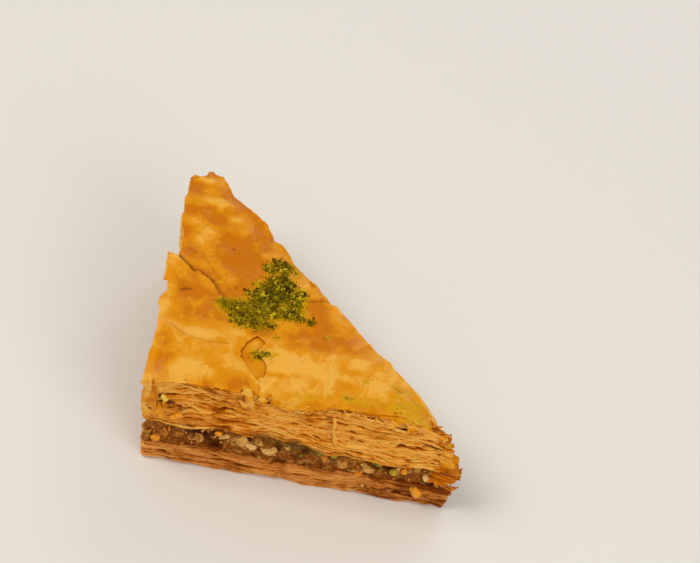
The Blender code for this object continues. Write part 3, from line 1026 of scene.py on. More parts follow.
def no_bulge(x, y, z):
    return 0.0


def core_top(x, y):
    return top_level(x, y) - CORE_DEPTH


upper_core = body("upper_core", sagging_top, core_top, 24, 3.0, no_bulge, 1.0)
finish_piece(upper_core, "top_pastry", SOAKED_SHADED_CORE)

bottom_core = body("bottom_core", floor_level, sagging_bottom, 6, 2.6, no_bulge, 1.0)
finish_piece(bottom_core, "bottom_pastry", SOAKED_SHADED_CORE)

filling = body("filling_paste", sagging_bottom, sagging_top, 26, 0.9, filling_bulge, 0.32)
olive, hollow, nut, tones = [], [], [], []
for vertex in filling.data.vertices:
    x, y, z = measured(vertex.co)
    front = y < FRONT_DEPTH
    gap, tone = nut_cell(x, y, z)
    nut.append(gap)
    tones.append(tone + 0.3 * bell(x, 28, 9) * bell(z, 11, 3) * front)
    # The olive band high in the paste is the nuts' oil and painted shade below the leaves.
    band = bell(x, 38, 12) * bell(y, 0, 8) * clamp((z - 11.5) / 2)
    olive.append(clamp(band * (0.8 + 1.0 * ripple(x / 3, z, 1.2, 6.6)), 0.85))
    # Painted shade: the pockets and the seam below the leaves are darkened as recesses.
    pocket = max(exp(-(away**4)) for away in pocket_reaches(x, y, z)) * front
    seam = ceiling(x, y, z) * (0.5 + 0.5 * ripple(x + y, z, 3, 4.9))
    hollow.append(clamp(max(seam, pocket)))
set_attributes(filling, olive=olive, hollow=hollow, nut=nut, tone=tones)
finish_piece(filling, "nut_filling", NUT_PASTE)

# %% [markdown]
# ## Creases and blisters of the crust
#
# The top leaves have blistered, wrinkled and torn. In the photograph the pale spots are loose,
# the deep orange ones are stuck down. The function below gives how loose the crust is at a
# place: noise, plus the patches that are big enough to recognise. The height follows it, and the
# material reads it, so that shape and colour tell the same story.

# %% Crust relief
# Each patch: centre, radius in x and in y, and how loose (above zero) or stuck (below) it is
# The stuck patches at (33.2, 28.6) and (38.0, 30.0), beside the heap, are partly its painted shadow.
PATCHES = (
    (8.9, 58.4, 3.4, 1.2, 0.8), (3.2, 51.2, 3.2, 2.2, 0.6), (7.0, 45.5, 3.5, 2.6, 0.4),
    (10.1, 52.9, 2.4, 1.6, -0.6), (13.8, 46.5, 4.5, 3.6, -0.55), (15.5, 41.0, 4.5, 3.0, -0.7),
    (1.8, 55.3, 2.6, 0.9, -0.6), (20.0, 50.0, 4.0, 5.0, -0.2), (9.8, 21.0, 6.5, 4.5, -0.2),
    (6.8, 27.6, 2.6, 1.6, -0.7), (20.3, 2.6, 4.0, 1.8, -0.1), (4.1, 6.6, 1.8, 1.6, -0.4),
    (10.0, 4.0, 5.0, 3.0, 0.4), (34.6, 19.3, 7.0, 2.8, -0.35), (43.5, 20.5, 6.0, 4.0, -0.05),
    (38.0, 30.0, 2.6, 2.4, -0.6), (38.0, 10.5, 7.5, 4.0, 0.4), (45.0, 7.0, 1.2, 5.0, 0.5),
    (55.0, 9.0, 5.0, 4.0, 0.25), (31.4, 6.6, 2.6, 0.9, -0.5), (11.0, 15.6, 4.0, 1.2, 0.4),
    (20.5, 17.6, 3.0, 1.6, 0.4), (11.5, 62.6, 2.0, 2.0, -0.3), (3.0, 62.0, 2.6, 3.0, -0.3),
    (6.0, 63.0, 4.0, 3.0, -0.2), (10.0, 27.0, 6.0, 2.6, -0.25), (0.6, 31.0, 1.8, 5.0, 0.2),
    (0.4, 19.0, 1.8, 6.0, 0.3), (0.2, 9.0, 1.8, 5.0, 0.25), (8.2, 59.0, 1.9, 1.2, 0.3),
    (13.2, 53.6, 2.0, 1.3, 0.6), (5.9, 46.0, 1.8, 1.4, 0.2), (3.9, 65.4, 2.6, 1.2, 0.5),
    (18.5, 58.4, 1.6, 1.2, 0.4), (17.5, 43.5, 1.4, 1.0, 0.3), (3.7, 37.4, 2.0, 1.6, 0.3),
    (16.0, 4.5, 4.0, 2.6, 0.25), (46.0, 15.0, 3.0, 2.0, 0.3), (10.4, 46.0, 2.6, 2.0, -0.3),
    (18.0, 37.0, 5.0, 3.6, -0.5), (21.6, 38.6, 2.4, 3.0, -0.8), (51.5, 14.0, 3.6, 2.6, 0.5),
    (18.0, 9.5, 3.0, 2.4, 0.4), (21.6, 6.4, 2.6, 2.0, 0.35), (8.6, 1.6, 3.0, 1.5, -0.35),
    (53.0, 1.6, 3.0, 1.4, -0.3), (25.0, 18.6, 2.6, 1.5, -0.4), (33.2, 28.6, 2.6, 2.4, -0.6),
    (18.6, 31.0, 3.0, 2.4, -0.4), (20.2, 46.8, 1.6, 1.1, 0.4), (22.8, 43.4, 1.2, 1.5, 0.35),
    (12.4, 43.4, 1.3, 1.0, 0.3), (18.2, 44.8, 1.8, 1.2, -0.35), (15.2, 38.6, 2.0, 1.2, -0.3),
    (16.6, 50.4, 1.5, 1.0, 0.35), (25.2, 44.6, 1.4, 1.0, 0.35),
)
# Each crease: its line, the rise on its left side and the dip on its right side
CREASES = (
    (((3.8, 42.6), (7.3, 41.0), (11.3, 36.2), (15.0, 32.2), (16.1, 31.3)), 0.3, 0.25),
    (((1.5, 17.9), (4.3, 16.4), (7.1, 14.6), (9.6, 13.8), (14.4, 13.3), (18.5, 13.9)), 0.3, 0.25),
    (((44.0, 11.5), (44.8, 7.0), (45.4, 2.0)), 0.2, 0.2),
    (((12.2, 10.5), (13.3, 6.0), (14.2, 1.0)), 0.15, 0.15),
    (((-0.3, 52.8), (3.0, 52.6), (6.4, 50.2), (9.0, 49.0)), -0.25, -0.3),
    (((0.0, 60.2), (2.5, 58.9), (4.2, 56.9), (8.0, 56.4)), 0.2, 0.25),
    (((30.0, 12.2), (36.0, 14.6), (44.0, 13.8), (50.0, 14.2)), 0.2, 0.2),
    (((52.0, 6.0), (57.5, 7.0), (62.5, 6.2), (67.0, 4.5)), 0.2, 0.2),
)
# Each burnt speck: centre, radius
SPECKS = ((14.8, 44.1, 0.4), (4.3, 27.7, 0.5), (5.0, 28.0, 0.55), (5.8, 28.2, 0.5),
          (6.5, 28.3, 0.4), (23.6, 49.4, 0.25), (2.7, 61.6, 0.25), (10.4, 0.6, 0.3),
          (17.6, 31.6, 0.3), (13.7, 28.2, 0.35), (12.6, 29.4, 0.25), (68.9, 2.3, 0.3),
          (62.1, 1.6, 0.4), (63.4, 1.9, 0.35), (61.6, 8.8, 0.25))


def disc_sum(x, y, discs, limit, power=1.0):
    """What a list of soft discs adds up to at a place."""
    total = 0.0
    for px, py, rx, ry, amount in discs:
        away = ((x - px) / rx) ** 2 + ((y - py) / ry) ** 2
        if away < limit:
            total += amount * exp(-(away**power))
    return total


def loose(x, y):
    """How loose the crust is, from 0, stuck down, to 1, a blister."""
    blotches = 0.5 + 0.42 * ripple(x, y, 9, 1.3) + 0.26 * ripple(x, y, 3.6, 2.7)
    return clamp(blotches + disc_sum(x, y, PATCHES, 6))


def line_distance(x, y, line):
    """Signed distance to a line of points, positive on its left, and the way past its ends."""
    best = (1e9, 1e9, 0.0)
    last = len(line) - 2
    for index, ((ax, ay), (bx, by)) in enumerate(zip(line, line[1:])):
        dx, dy = bx - ax, by - ay
        share = ((x - ax) * dx + (y - ay) * dy) / (dx * dx + dy * dy)
        beyond = 0.0
        if (index == 0 and share < 0) or (index == last and share > 1):
            beyond = abs(share - (share > 1)) * hypot(dx, dy)
        share = min(1, max(0, share))
        away = hypot(x - ax - dx * share, y - ay - dy * share)
        side = dx * (y - ay) - dy * (x - ax)
        if away < best[0]:
            best = (away, away if side > 0 else -away, beyond)
    return best[1], best[2]


def creases(x, y):
    """The steps that the folded and torn edges make in the crust."""
    height = 0.0
    for line, rise, dip in CREASES:
        if min(abs(x - px) + abs(y - py) for px, py in line) > 12:
            continue
        signed, beyond = line_distance(x, y, line)
        side = 0.5 + 0.5 * tanh(signed / 0.22)
        up = rise * exp(-max(signed, 0) / 1.6)
        down = dip * exp(-max(-signed, 0) / 1.1)
        height += (side * up - (1 - side) * down) * bell(beyond, 0, 1.2)
    return height


def wrinkles(x, y):
    """Fine folds, most of them running down to the right as in the photograph."""
    along, across = 0.84 * x - 0.54 * y, 0.54 * x + 0.84 * y
    bend = 1.4 * ripple(x, y, 8, 4.4)
    folds = 1 - 2 * abs(ripple(along / 3.4, across + bend, 2.3, 7.7))
    cross = 1 - 2 * abs(ripple((across + bend) / 2.6, along, 2.9, 9.1))
    fine = ripple(x, y, 1.1, 3.3)
    return 0.06 * folds + 0.035 * cross + 0.02 * fine


def crust_relief(x, y):
    return 0.5 * (loose(x, y) - 0.5) + creases(x, y) + wrinkles(x, y)


def painted_crease_shade(x, y):
    """Painted shade along the low side of the creases."""
    amount = 0.0
    for line, rise, dip in CREASES:
        if rise < 0.3 or min(abs(x - px) + abs(y - py) for px, py in line) > 8:
            continue
        signed, beyond = line_distance(x, y, line)
        low_side = bell(signed, -0.25, 0.26) * (0.6 + 0.9 * ripple(x, y, 2.6, 8.1))
        amount = max(amount, 0.5 * low_side * bell(beyond, 0, 0.8))
    return amount


print("patches, creases and specks:", len(PATCHES), len(CREASES), len(SPECKS))

# %% Stains of the crust
# Each stain of ground pistachio: centre, radius in x and in y, and its strength
STAINS = (
    (28.3, 40.0, 3.6, 2.4, 0.8), (28.0, 32.6, 5.4, 3.6, 0.95), (20.0, 25.6, 5.4, 2.6, 0.65),
    (22.4, 22.4, 4.4, 2.6, 0.9), (26.0, 26.6, 4.4, 3.4, 0.9), (27.0, 11.8, 2.2, 1.4, 0.6),
    (64.6, 4.6, 5.0, 2.2, 0.3), (61.6, 8.4, 2.4, 2.0, 0.25), (55.0, 3.0, 5.0, 1.9, 0.25),
    (49.6, 3.2, 0.9, 0.7, 0.6), (53.6, 9.0, 0.9, 0.7, 0.6), (67.5, 1.2, 4.0, 1.4, 0.4),
    (40.0, 1.6, 3.4, 1.0, 0.34), (17.6, 26.2, 3.4, 1.6, 0.8), (62.8, 8.0, 0.6, 0.5, 0.4),
    (33.2, 29.0, 2.2, 2.6, 0.7), (33.0, 25.8, 3.6, 1.4, 0.6), (51.6, 2.8, 1.7, 0.9, 0.25),
    (61.3, 2.8, 2.0, 1.1, 0.2), (63.6, 4.3, 1.6, 1.0, 0.2), (66.0, 3.3, 1.6, 1.0, 0.25),
    (61.9, 9.1, 1.5, 1.0, 0.25), (64.8, 8.8, 1.2, 0.9, 0.3), (67.4, 6.0, 1.8, 1.0, 0.25),
    (30.0, 17.6, 1.2, 0.9, 0.4), (42.8, 20.8, 0.7, 0.7, 0.45), (20.6, 45.0, 1.3, 0.7, 0.3),
    (24.0, 47.6, 1.0, 0.7, 0.2), (30.8, 12.6, 1.6, 0.6, 0.3), (44.5, 3.0, 3.0, 0.8, 0.25),
)


def green_stain(x, y):
    """How much fine pistachio dust colours the crust."""
    return min(0.85, disc_sum(x, y, STAINS, 6) * (1 + 0.9 * ripple(x, y, 1.3, 6.9)))


def speck_amount(x, y):
    """Burnt specks, from 0 to 1."""
    amount = 0.0
    for px, py, radius in SPECKS:
        away = hypot(x - px, (y - py) * 1.3) / radius
        amount = max(amount, exp(-away * away))
    return amount


print("stains of pistachio:", len(STAINS))

# %% [markdown]
# ## Building a leaf from its outline
#
# A torn leaf is any flat shape, so a grid won't fit it. A constrained Delaunay triangulation does:
# it takes the ragged outline and a field of inner points, and joins them into even triangles. The
# same points again, a quarter of a millimetre lower, make the underside, and a thin wall closes
# the edge.

# %% Leaf builder
CRUST_THICKNESS = 0.24
CRUST_SPACING = 0.4
SHARP_ANGLE = pi / 3
MAX_HEIGHT = cad_high.z / MM - 0.05


def inside(x, y, ring):
    """True if a plan point is inside a closed ring."""
    crossings = 0
    for (ax, ay), (bx, by) in zip(ring, ring[1:] + ring[:1]):
        if (ay > y) != (by > y):
            crossings += x < ax + (y - ay) * (bx - ax) / (by - ay)
    return crossings % 2 == 1


def fill_points(rings, spacing):
    """Staggered points over the first ring's box, none of them close to a ring."""
    tree = KDTree(sum(len(ring) for ring in rings))
    for index, (x, y) in enumerate(point for ring in rings for point in ring):
        tree.insert((x, y, 0), index)
    tree.balance()
    low_x, high_x = min(p[0] for p in rings[0]), max(p[0] for p in rings[0])
    low_y, high_y = min(p[1] for p in rings[0]), max(p[1] for p in rings[0])
    rng = random.Random(5)
    points = []
    row_step = spacing * 0.866
    for row in range(int((high_y - low_y) / row_step) + 1):
        for column in range(int((high_x - low_x) / spacing) + 1):
            x = low_x + (column + 0.5 * (row % 2) + rng.uniform(-0.12, 0.12)) * spacing
            y = low_y + row * row_step
            if tree.find((x, y, 0))[2] > spacing * 0.6:
                points.append((x, y))
    return points


def leaf_faces(rings):
    """Plan points and triangles of a leaf: inside the first ring, outside the others."""
    flat, edges = [], []
    for ring in rings:
        start = len(flat)
        flat += ring
        edges += [(start + i, start + (i + 1) % len(ring)) for i in range(len(ring))]
    flat += fill_points(rings, CRUST_SPACING)
    done = delaunay_2d_cdt([Vector(p) for p in flat], edges, [], 1, 1e-6)
    plan, triangles = done[0], []
    for face in done[2]:
        x = sum(plan[i].x for i in face) / 3
        y = sum(plan[i].y for i in face) / 3
        if not any(inside(x, y, hole) for hole in rings[1:]):
            triangles.append(tuple(face))
    return plan, triangles


def close_sheet(faces, count):
    """All faces of a thin sheet: the upper ones, the same ones below, and a wall at the edge."""
    seen = {(a, b) for face in faces for a, b in zip(face, face[1:] + face[:1])}
    under = [tuple(i + count for i in face[::-1]) for face in faces]
    return faces + under + [(b, a, a + count, b + count) for a, b in seen if (b, a) not in seen]


def build_leaf(name, rings, level, shadow, soak):
    """A closed thin leaf whose upper side has the given height function."""
    plan, triangles = leaf_faces(rings)
    used = sorted({i for face in triangles for i in face})
    number = {old: new for new, old in enumerate(used)}
    plan = [plan[i] for i in used]
    triangles = [tuple(number[i] for i in face) for face in triangles]
    levels = [min(level(p.x, p.y), MAX_HEIGHT) for p in plan]
    points = [place(p.x, p.y, z) for p, z in zip(plan, levels)]
    points += [place(p.x, p.y, z - CRUST_THICKNESS) for p, z in zip(plan, levels)]
    leaf = new_piece(name, points, close_sheet(triangles, len(plan)))
    leaf.data.set_sharp_from_angle(angle=SHARP_ANGLE)
    set_attributes(
        leaf,
        stuck=[1 - loose(p.x, p.y) + soak for p in plan] * 2,
        # Painted shadow at the torn edges and painted shade along the creases.
        amber=[max(shadow(p.x, p.y), painted_crease_shade(p.x, p.y)) for p in plan] * 2,
        green=[green_stain(p.x, p.y) for p in plan] * 2,
        speck=[speck_amount(p.x, p.y) for p in plan] * 2)
    return leaf


print("crust points every", CRUST_SPACING, "mm")

# %% [markdown]
# ## The two top leaves
#
# The crust is two leaves that overlap. The back one covers the whole piece. The front one lies
# over it: it starts at the torn flap on the left, its ragged edge runs in under the pistachio, and
# near the front it has a hole that shows the back leaf, deep orange. Torn edges curl up a little,
# so the front leaf's height rises towards them, and a dark line is painted at their foot as their
# shadow.

# %% Torn edges
TORN_EDGE = ((43.4, 31.2), (40.0, 31.8), (36.5, 30.4), (32.0, 30.2), (27.0, 27.6), (21.0, 26.4),
             (16.5, 26.8), (13.1, 28.8), (12.0, 30.6), (10.1, 32.2), (7.2, 34.3), (6.2, 33.6),
             (3.5, 36.1), (1.6, 37.6), (-1.2, 38.8))
FLAP_SIDE = ((-1.1, 36.4), (-0.8, 32.5), (-0.7, 29.9), (0.3, 29.7), (0.8, 26.6), (-0.5, 24.1),
             (-0.6, 21.7), (0.0, 21.3), (0.5, 14.5), (0.5, 12.1), (0.1, 7.6), (-0.2, 1.3),
             (0.4, 1.0))
FRONT_EDGE = ((0.3, 0.1), (8, -0.2), (16, 0.0), (23.5, -0.2), (24.6, 0.5), (27.4, 0.6),
              (28.6, -0.3), (30.6, -0.2), (31.4, 0.8), (32.2, -0.9), (36, -1.05), (41, -1.0),
              (44.5, -0.5), (50, -0.1), (56, 0.2), (60.5, 0.6), (63.5, 0.9), (67, 0.3),
              (72.2, -0.2))
HOLE = ((25.2, 17.5), (24.0, 16.4), (23.2, 15.4), (22.0, 12.4), (22.4, 10.2), (23.8, 8.5),
        (25.7, 6.0), (26.9, 4.6), (27.6, 4.0), (28.6, 4.6), (29.4, 5.9), (29.2, 8.0),
        (28.5, 9.9), (27.2, 11.0), (26.2, 12.6), (27.0, 14.4), (27.7, 15.9), (26.4, 16.8))

torn_ring = walk(TORN_EDGE, 0.3, 0.3, 12.0, closed=False)
hole_ring = walk(HOLE, 0.3, 0.24, 14.0)
torn_tree = KDTree(len(torn_ring) + len(hole_ring))
for index, (x, y) in enumerate(torn_ring + hole_ring):
    torn_tree.insert((x, y, 0), index)
torn_tree.balance()


def torn_distance(x, y):
    """The way to the nearest torn edge of the front leaf."""
    return torn_tree.find((x, y, 0))[2]


print("points along the torn edges:", len(torn_ring), "and", len(hole_ring))

# %% [markdown]
# ### The back leaf
#
# It fills the whole outline. Where a torn edge of the front leaf lies on it, a dark line is
# painted at the foot of the step as its shadow, wide and broken at the flap, thin inside the hole
# and strongest on the hole's lower left. The painted shadow is stored as an attribute, from the
# distance to the torn edges, and the crust's finish mixes it in as amber.

# %% Back leaf
BACK_DROP = 0.55
FLAP_START = 24
FLAP_SHADOW = 1.0
DRAPE_START, DRAPE_WIDTH = 0.9, 1.7


def front_drape(x, y):
    """The crust folds down over the front cut, most between the hole and the middle."""
    over = clamp((DRAPE_START - y) / DRAPE_WIDTH)
    deep = 1.9 * exp(-(((x - 38) / 6.5) ** 4)) + 0.35 + 0.3 * ripple(x, 0, 4, 2.2)
    return deep * over * over


def back_level(x, y):
    return top_level(x, y) - BACK_DROP + crust_relief(x, y) - front_drape(x, y)


def back_shadow(x, y):
    """Painted shadow at the foot of the front leaf's torn edges, more at the flap than in the hole."""
    broken = ripple(x, y, 2.2, 4.7)
    if y > FLAP_START:
        away = max(0, torn_distance(x, y) - FLAP_SHADOW)
        line = 0.35 + 0.75 * exp(-(((x - 7) / 7) ** 4))
        return min(1, bell(away, 0, 0.5) * line * (0.9 + 0.5 * broken))
    low_left = 1 - rise(y + 1.2 * (x - 25), 9.5, 1.2)
    edge = bell(torn_distance(x, y), 0, 0.36)
    return min(1, (0.25 + 0.55 * low_left) * (0.7 + 0.7 * broken) * edge)


back_ring = walk(OUTLINE, 0.36, 0.16, 31.0)
back_leaf = build_leaf("back_leaf", [back_ring], back_level, back_shadow, 0.14)
finish_piece(back_leaf, "top_pastry", CRUST)

# %% [markdown]
# ### The front leaf
#
# Its ring joins the ragged front edge, the right end, part of the long cut, the torn edge and the
# flap on the left. The corners of the hole make a second ring. Along the front it hangs over the
# cut like a small curtain.

# %% Front leaf
FRONT_DROP = 0.1
STANDS_OUT = -1.24
FLAP_RISE, FLAP_WIDTH = 0.55, 15
BACK_CURL, HOLE_CURL, HOLE_END = 0.45, 0.2, 22


def front_level(x, y):
    """The front leaf lies on the back one, and rises at the flap and along its torn edges."""
    flap = FLAP_RISE * bell(x, 0, FLAP_WIDTH) * clamp(y / FLAP_WIDTH)
    torn = BACK_CURL if y > HOLE_END else HOLE_CURL
    curl = torn * exp(-torn_distance(x, y) / 1.1) * (0.7 + 0.6 * ripple(x, y, 2.5, 8.8))
    level = top_level(x, y) - FRONT_DROP + crust_relief(x, y) + flap + curl
    return level - front_drape(x, y)


def no_shadow(x, y):
    return 0.0


ragged_front = walk(FRONT_EDGE + RIGHT_END[:1], 0.3, 0.36, 33.0, closed=False)[:-1]
front_ring = [(x, max(y, STANDS_OUT)) for x, y in ragged_front]
front_ring += walk(RIGHT_END + LONG_CUT[:8], 0.36, 0.16, 31.0, closed=False)[:-1] + torn_ring
front_ring += walk(((-1.2, 38.8),) + FLAP_SIDE + ((0.3, 0.1),), 0.36, 0.16, 17.0, False)[1:-1]
front_leaf = build_leaf("front_leaf", [front_ring, hole_ring], front_level, no_shadow, 0.0)
finish_piece(front_leaf, "top_pastry", CRUST)

# %% [markdown]
# ## Torn strips and flakes
#
# Crisp leaves break when they are cut. Two torn legs run from the crust down over the front, with
# smaller strips beside them, and shards stand out at the sharp right end. Each is a small curved
# sheet along a path: a list of stations, each with its place and half its width, and the direction
# across it. A thin wall closes its edge.

# %% Strip builder
STRIP_COLUMNS = 9
STRIP_STEPS = 7
STRIP_THICKNESS = 0.22
STRIP_RIM = 0.96


def strip(stations, across, seed, ragged):
    """Points and faces of a curved strip, closed all round. Its edges are torn by ragged."""
    rows = (len(stations) - 1) * STRIP_STEPS + 1
    upper, travel, before = [], 0.0, Vector(stations[0][:3])
    for row in range(rows):
        first = min(row // STRIP_STEPS, len(stations) - 2)
        share = row / STRIP_STEPS - first
        share = share * share * (3 - 2 * share)
        x, y, z, half = (p + (q - p) * share for p, q in zip(stations[first], stations[first + 1]))
        travel += (Vector((x, y, z)) - before).length
        before = Vector((x, y, z))
        for column in range(STRIP_COLUMNS):
            side = column / (STRIP_COLUMNS - 1) * 2 - 1
            torn = ripple(travel, side, 0.6, seed) + 0.9 * ripple(travel, side, 1.5, seed + 2)
            reach = (half + ragged * torn * abs(side)) * side
            wave = 0.24 * ripple(row, column, 2.6, seed + 4.4) - 0.14 * half * side * side
            upper.append(Vector((x, y, z + wave)) + Vector(across) * reach)
    faces = []
    for row in range(rows - 1):
        for column in range(STRIP_COLUMNS - 1):
            a = row * STRIP_COLUMNS + column
            faces.append((a, a + 1, a + STRIP_COLUMNS + 1, a + STRIP_COLUMNS))
    first_side = upper[STRIP_COLUMNS] - upper[0]
    down = first_side.cross(upper[STRIP_COLUMNS - 1] - upper[0]).normalized() * STRIP_THICKNESS
    spots = upper + [p + down for p in upper]
    points = [place(p.x, max(p.y, STANDS_OUT), p.z) for p in spots]
    return points, close_sheet(faces, len(upper))


def strips_piece(name, strips, ragged, finish=CRUST):
    """Several strips as one piece. It stores what the crust and the cut leaves' finish read."""
    points, faces, browning = [], [], []
    for seed, (stations, across, stuck) in enumerate(strips):
        more, sides = strip(stations, across, seed * 3.7, ragged)
        faces += [tuple(i + len(points) for i in face) for face in sides]
        points += more
        browning += [stuck] * len(more)
    piece = new_piece(name, points, faces)
    piece.data.set_sharp_from_angle(angle=SHARP_ANGLE)
    amounts = [stuck + 0.7 * ripple(p.x, p.y + p.z, 2.4, 1.1)
               for p, stuck in zip(map(measured, points), browning)]
    none = [0.0] * len(points)
    set_attributes(piece, stuck=amounts, amber=none, green=none, speck=none, shade=none,
                   rim=[STRIP_RIM] * len(points), tone=[max(0, 1.6 * part) for part in amounts])
    finish_piece(piece, "top_pastry", finish)


print("points across a strip:", STRIP_COLUMNS)

# %% Hanging strips
# Each strip: stations of x, y, z and half its width, the direction across it, and its browning
HANGING = (
    (((24.3, 4.2, 34.8, 0.5), (24.8, 2.2, 35.15, 0.9), (25.7, 0.1, 35.05, 1.2),
      (26.6, -0.9, 33.0, 1.0), (27.4, -1.0, 30.6, 0.95), (27.9, -1.1, 28.6, 0.3)),
     (1, 0, 0.1), 0.36),
    (((28.5, 5.0, 35.1, 0.5), (29.0, 3.0, 35.4, 0.8), (29.5, 0.5, 35.2, 0.9),
      (29.9, -0.8, 33.4, 0.75), (29.7, -1.0, 31.8, 0.3)), (1, 0, -0.1), 0.32),
    (((27.0, -0.9, 31.8, 0.6), (25.8, -1.1, 30.9, 0.8), (24.8, -1.0, 31.2, 0.7),
      (23.9, -0.9, 32.4, 0.3)), (0.2, 0, 1), 0.36),
    (((27.6, -1.0, 30.6, 0.7), (28.6, -1.1, 30.0, 0.45), (29.4, -1.0, 30.9, 0.15)),
     (0.2, 0, 1), 0.35),
    (((32.6, 0.6, 34.5, 0.6), (32.7, -0.9, 33.4, 0.8), (32.9, -1.1, 32.2, 0.4),
      (32.9, -1.0, 31.2, 0.1)), (1, 0, 0.1), 0.5),
    (((36.0, 0.2, 33.2, 0.5), (36.4, -1.0, 32.2, 0.9), (37.2, -1.1, 31.0, 0.2)),
     (1, 0, 0.2), 0.3),
    (((47.6, -0.8, 31.8, 0.15), (48.1, -1.1, 29.6, 0.42), (47.9, -1.15, 27.4, 0.3),
      (48.6, -1.15, 24.6, 0.55), (48.5, -1.1, 22.6, 0.3), (49.0, -0.8, 20.8, 0.1)),
     (1, 0, 0.1), -0.2),
    (((62.6, 0.7, 33.9, 1.4), (62.5, -0.5, 33.2, 1.5), (61.9, -1.0, 32.2, 1.0),
      (61.4, -1.1, 31.6, 0.2)), (1, 0, 0.25), 0.5),
    (((66.8, 0.3, 33.0, 1.2), (66.8, -0.8, 32.2, 1.2), (66.3, -1.1, 31.0, 0.3)),
     (1, 0, 0.2), 0.6),
)
strips_piece("hanging_strips", HANGING, 0.5)

# %% [markdown]
# ### The smeared corner
#
# At the left corner the crust is dragged down over the edges of the leaves. A few wide strips
# that overlap, pressed flat against the cut, stand for that.

# %% Smeared corner
SMEARED = (
    (((1.2, 0.6, 33.4, 0.5), (1.4, -0.2, 31.6, 1.2), (1.3, -0.4, 27.0, 1.3),
      (1.2, -0.4, 22.6, 1.3), (1.9, -0.4, 20.0, 1.4), (2.2, 0.5, 17.4, 0.8)), (1, 0.1, 0.1), 0.5),
    (((3.0, 0.5, 32.0, 0.4), (3.0, -0.3, 29.4, 0.9), (2.6, -0.5, 25.6, 1.0),
      (3.0, -0.5, 22.0, 1.2), (3.6, -0.3, 19.4, 0.9), (4.0, 0.5, 17.6, 0.4)), (1, 0, 0.15), 0.65),
    (((4.6, 0.5, 24.6, 0.3), (4.4, -0.5, 23.0, 0.8), (4.8, -0.5, 21.0, 1.0),
      (5.4, 0.5, 19.2, 0.4)), (1, 0, 0.2), 0.4),
    (((6.2, 0.4, 26.8, 0.3), (5.6, -0.3, 25.6, 0.6), (6.0, -0.3, 23.6, 0.5),
      (6.6, 0.4, 22.4, 0.2)), (1, 0, 0.3), 0.8),
    (((0.9, 0.7, 34.4, 0.8), (1.1, -0.5, 33.0, 1.3), (1.5, -0.7, 31.0, 1.1),
      (1.7, -0.6, 29.4, 0.4)), (1, 0.1, 0.1), -0.1),
)
strips_piece("smeared_leaves", SMEARED, 0.4)

# %% [markdown]
# ### Loose edges along the cut
#
# The same strips lie along the cut, as the edges of leaves that have come loose, and one dark
# strip behind the torn legs stands for their painted shadow. The long ones are listed. A loop
# makes the small ones right below the crust.

# %% Loose leaf edges
LOOSE_EDGES_AND_SHADOW = (
    # The first strip is no leaf edge: a dark strip behind the torn legs, painted as their shadow.
    (((23.0, 0.5, 32.4, 0.3), (25.5, -0.1, 31.8, 1.0), (29.5, -0.2, 31.4, 1.1),
      (34.0, 0.5, 31.6, 0.4)), (0.1, -0.1, 1), 0.7),
    (((16.6, 0.4, 34.5, 0.2), (17.8, -0.4, 34.2, 0.8), (19.8, -0.6, 33.6, 1.0),
      (22.0, 0.1, 32.9, 0.3)), (0.2, -0.2, 1), 0.75),
    (((12.4, 0.4, 33.4, 0.2), (15.0, -0.3, 33.0, 0.6), (18.6, -0.4, 32.2, 0.7),
      (22.4, 0.3, 31.0, 0.2)), (0.1, -0.2, 1), 0.55),
    (((7.6, 0.4, 34.0, 0.2), (10.6, -0.2, 33.4, 0.5), (14.6, -0.3, 32.6, 0.5),
      (17.4, 0.3, 31.4, 0.1)), (0.1, -0.2, 1), 0.4),
    (((4.4, 0.5, 16.6, 0.2), (8.0, -0.3, 16.9, 0.5), (13.0, -0.4, 17.0, 0.6),
      (18.5, 0.4, 17.6, 0.2)), (0.1, -0.3, 1), 0.35),
    (((28.0, 0.5, 22.6, 0.1), (31.0, -0.3, 23.0, 0.8), (34.4, -0.3, 22.0, 0.9),
      (37.0, 0.4, 21.0, 0.1)), (0.1, -0.2, 1), 0.2),
    (((60.0, 0.5, 31.6, 0.1), (62.6, -0.4, 31.0, 0.7), (65.6, -0.4, 30.4, 0.6),
      (68.4, 0.3, 30.2, 0.1)), (0.1, -0.2, 1), 0.6),
)
strips_piece("loose_edges", LOOSE_EDGES_AND_SHADOW, 0.45, UPPER_LEAF)

# %% Edge folds
FOLDS, FOLDS_START, FOLDS_STEP = 15, 33.5, 2.35


def edge_folds():
    """Small broken folds below the crust's front edge, where the photograph shows many."""
    rng = random.Random(14)
    folds = []
    for index in range(FOLDS):
        x = FOLDS_START + index * FOLDS_STEP + rng.uniform(-0.8, 0.8)
        level = top_level(x, 0) - front_drape(x, -1) - rng.uniform(0.6, 1.8)
        length, half = rng.uniform(3.0, 6.0), rng.uniform(0.25, 0.8)
        fall = rng.uniform(-0.3, 0.9)
        stations = ((x, 0.6, level + 0.2, half * 0.4), (x + length * 0.35, -0.5, level, half),
                    (x + length * 0.7, -0.6, level - fall * 0.7, half * 0.9),
                    (x + length, 0.4, level - fall, half * 0.3))
        across = (rng.uniform(-0.15, 0.15), -0.3, 1)
        folds.append((stations, across, rng.uniform(-0.1, 0.9)))
    return tuple(folds)


strips_piece("edge_folds", edge_folds(), 0.35, UPPER_LEAF)

# %% [markdown]
# ## Shards at the sharp end
#
# The sharp right end is the weakest place: its leaves fan out and break off one by one, and low
# down a torn clump stands out furthest. A loop sets a shard on each level there, a little longer
# or shorter than the last, and tilted.

# %% End shards
SHARD_REACH = measured(cad_high).x - 0.35
SHARDS, SHARDS_LOW, SHARDS_STEP = 32, 8.6, 0.76
CLUMP_LEVEL, CLUMP_WIDTH = 14.5, 4


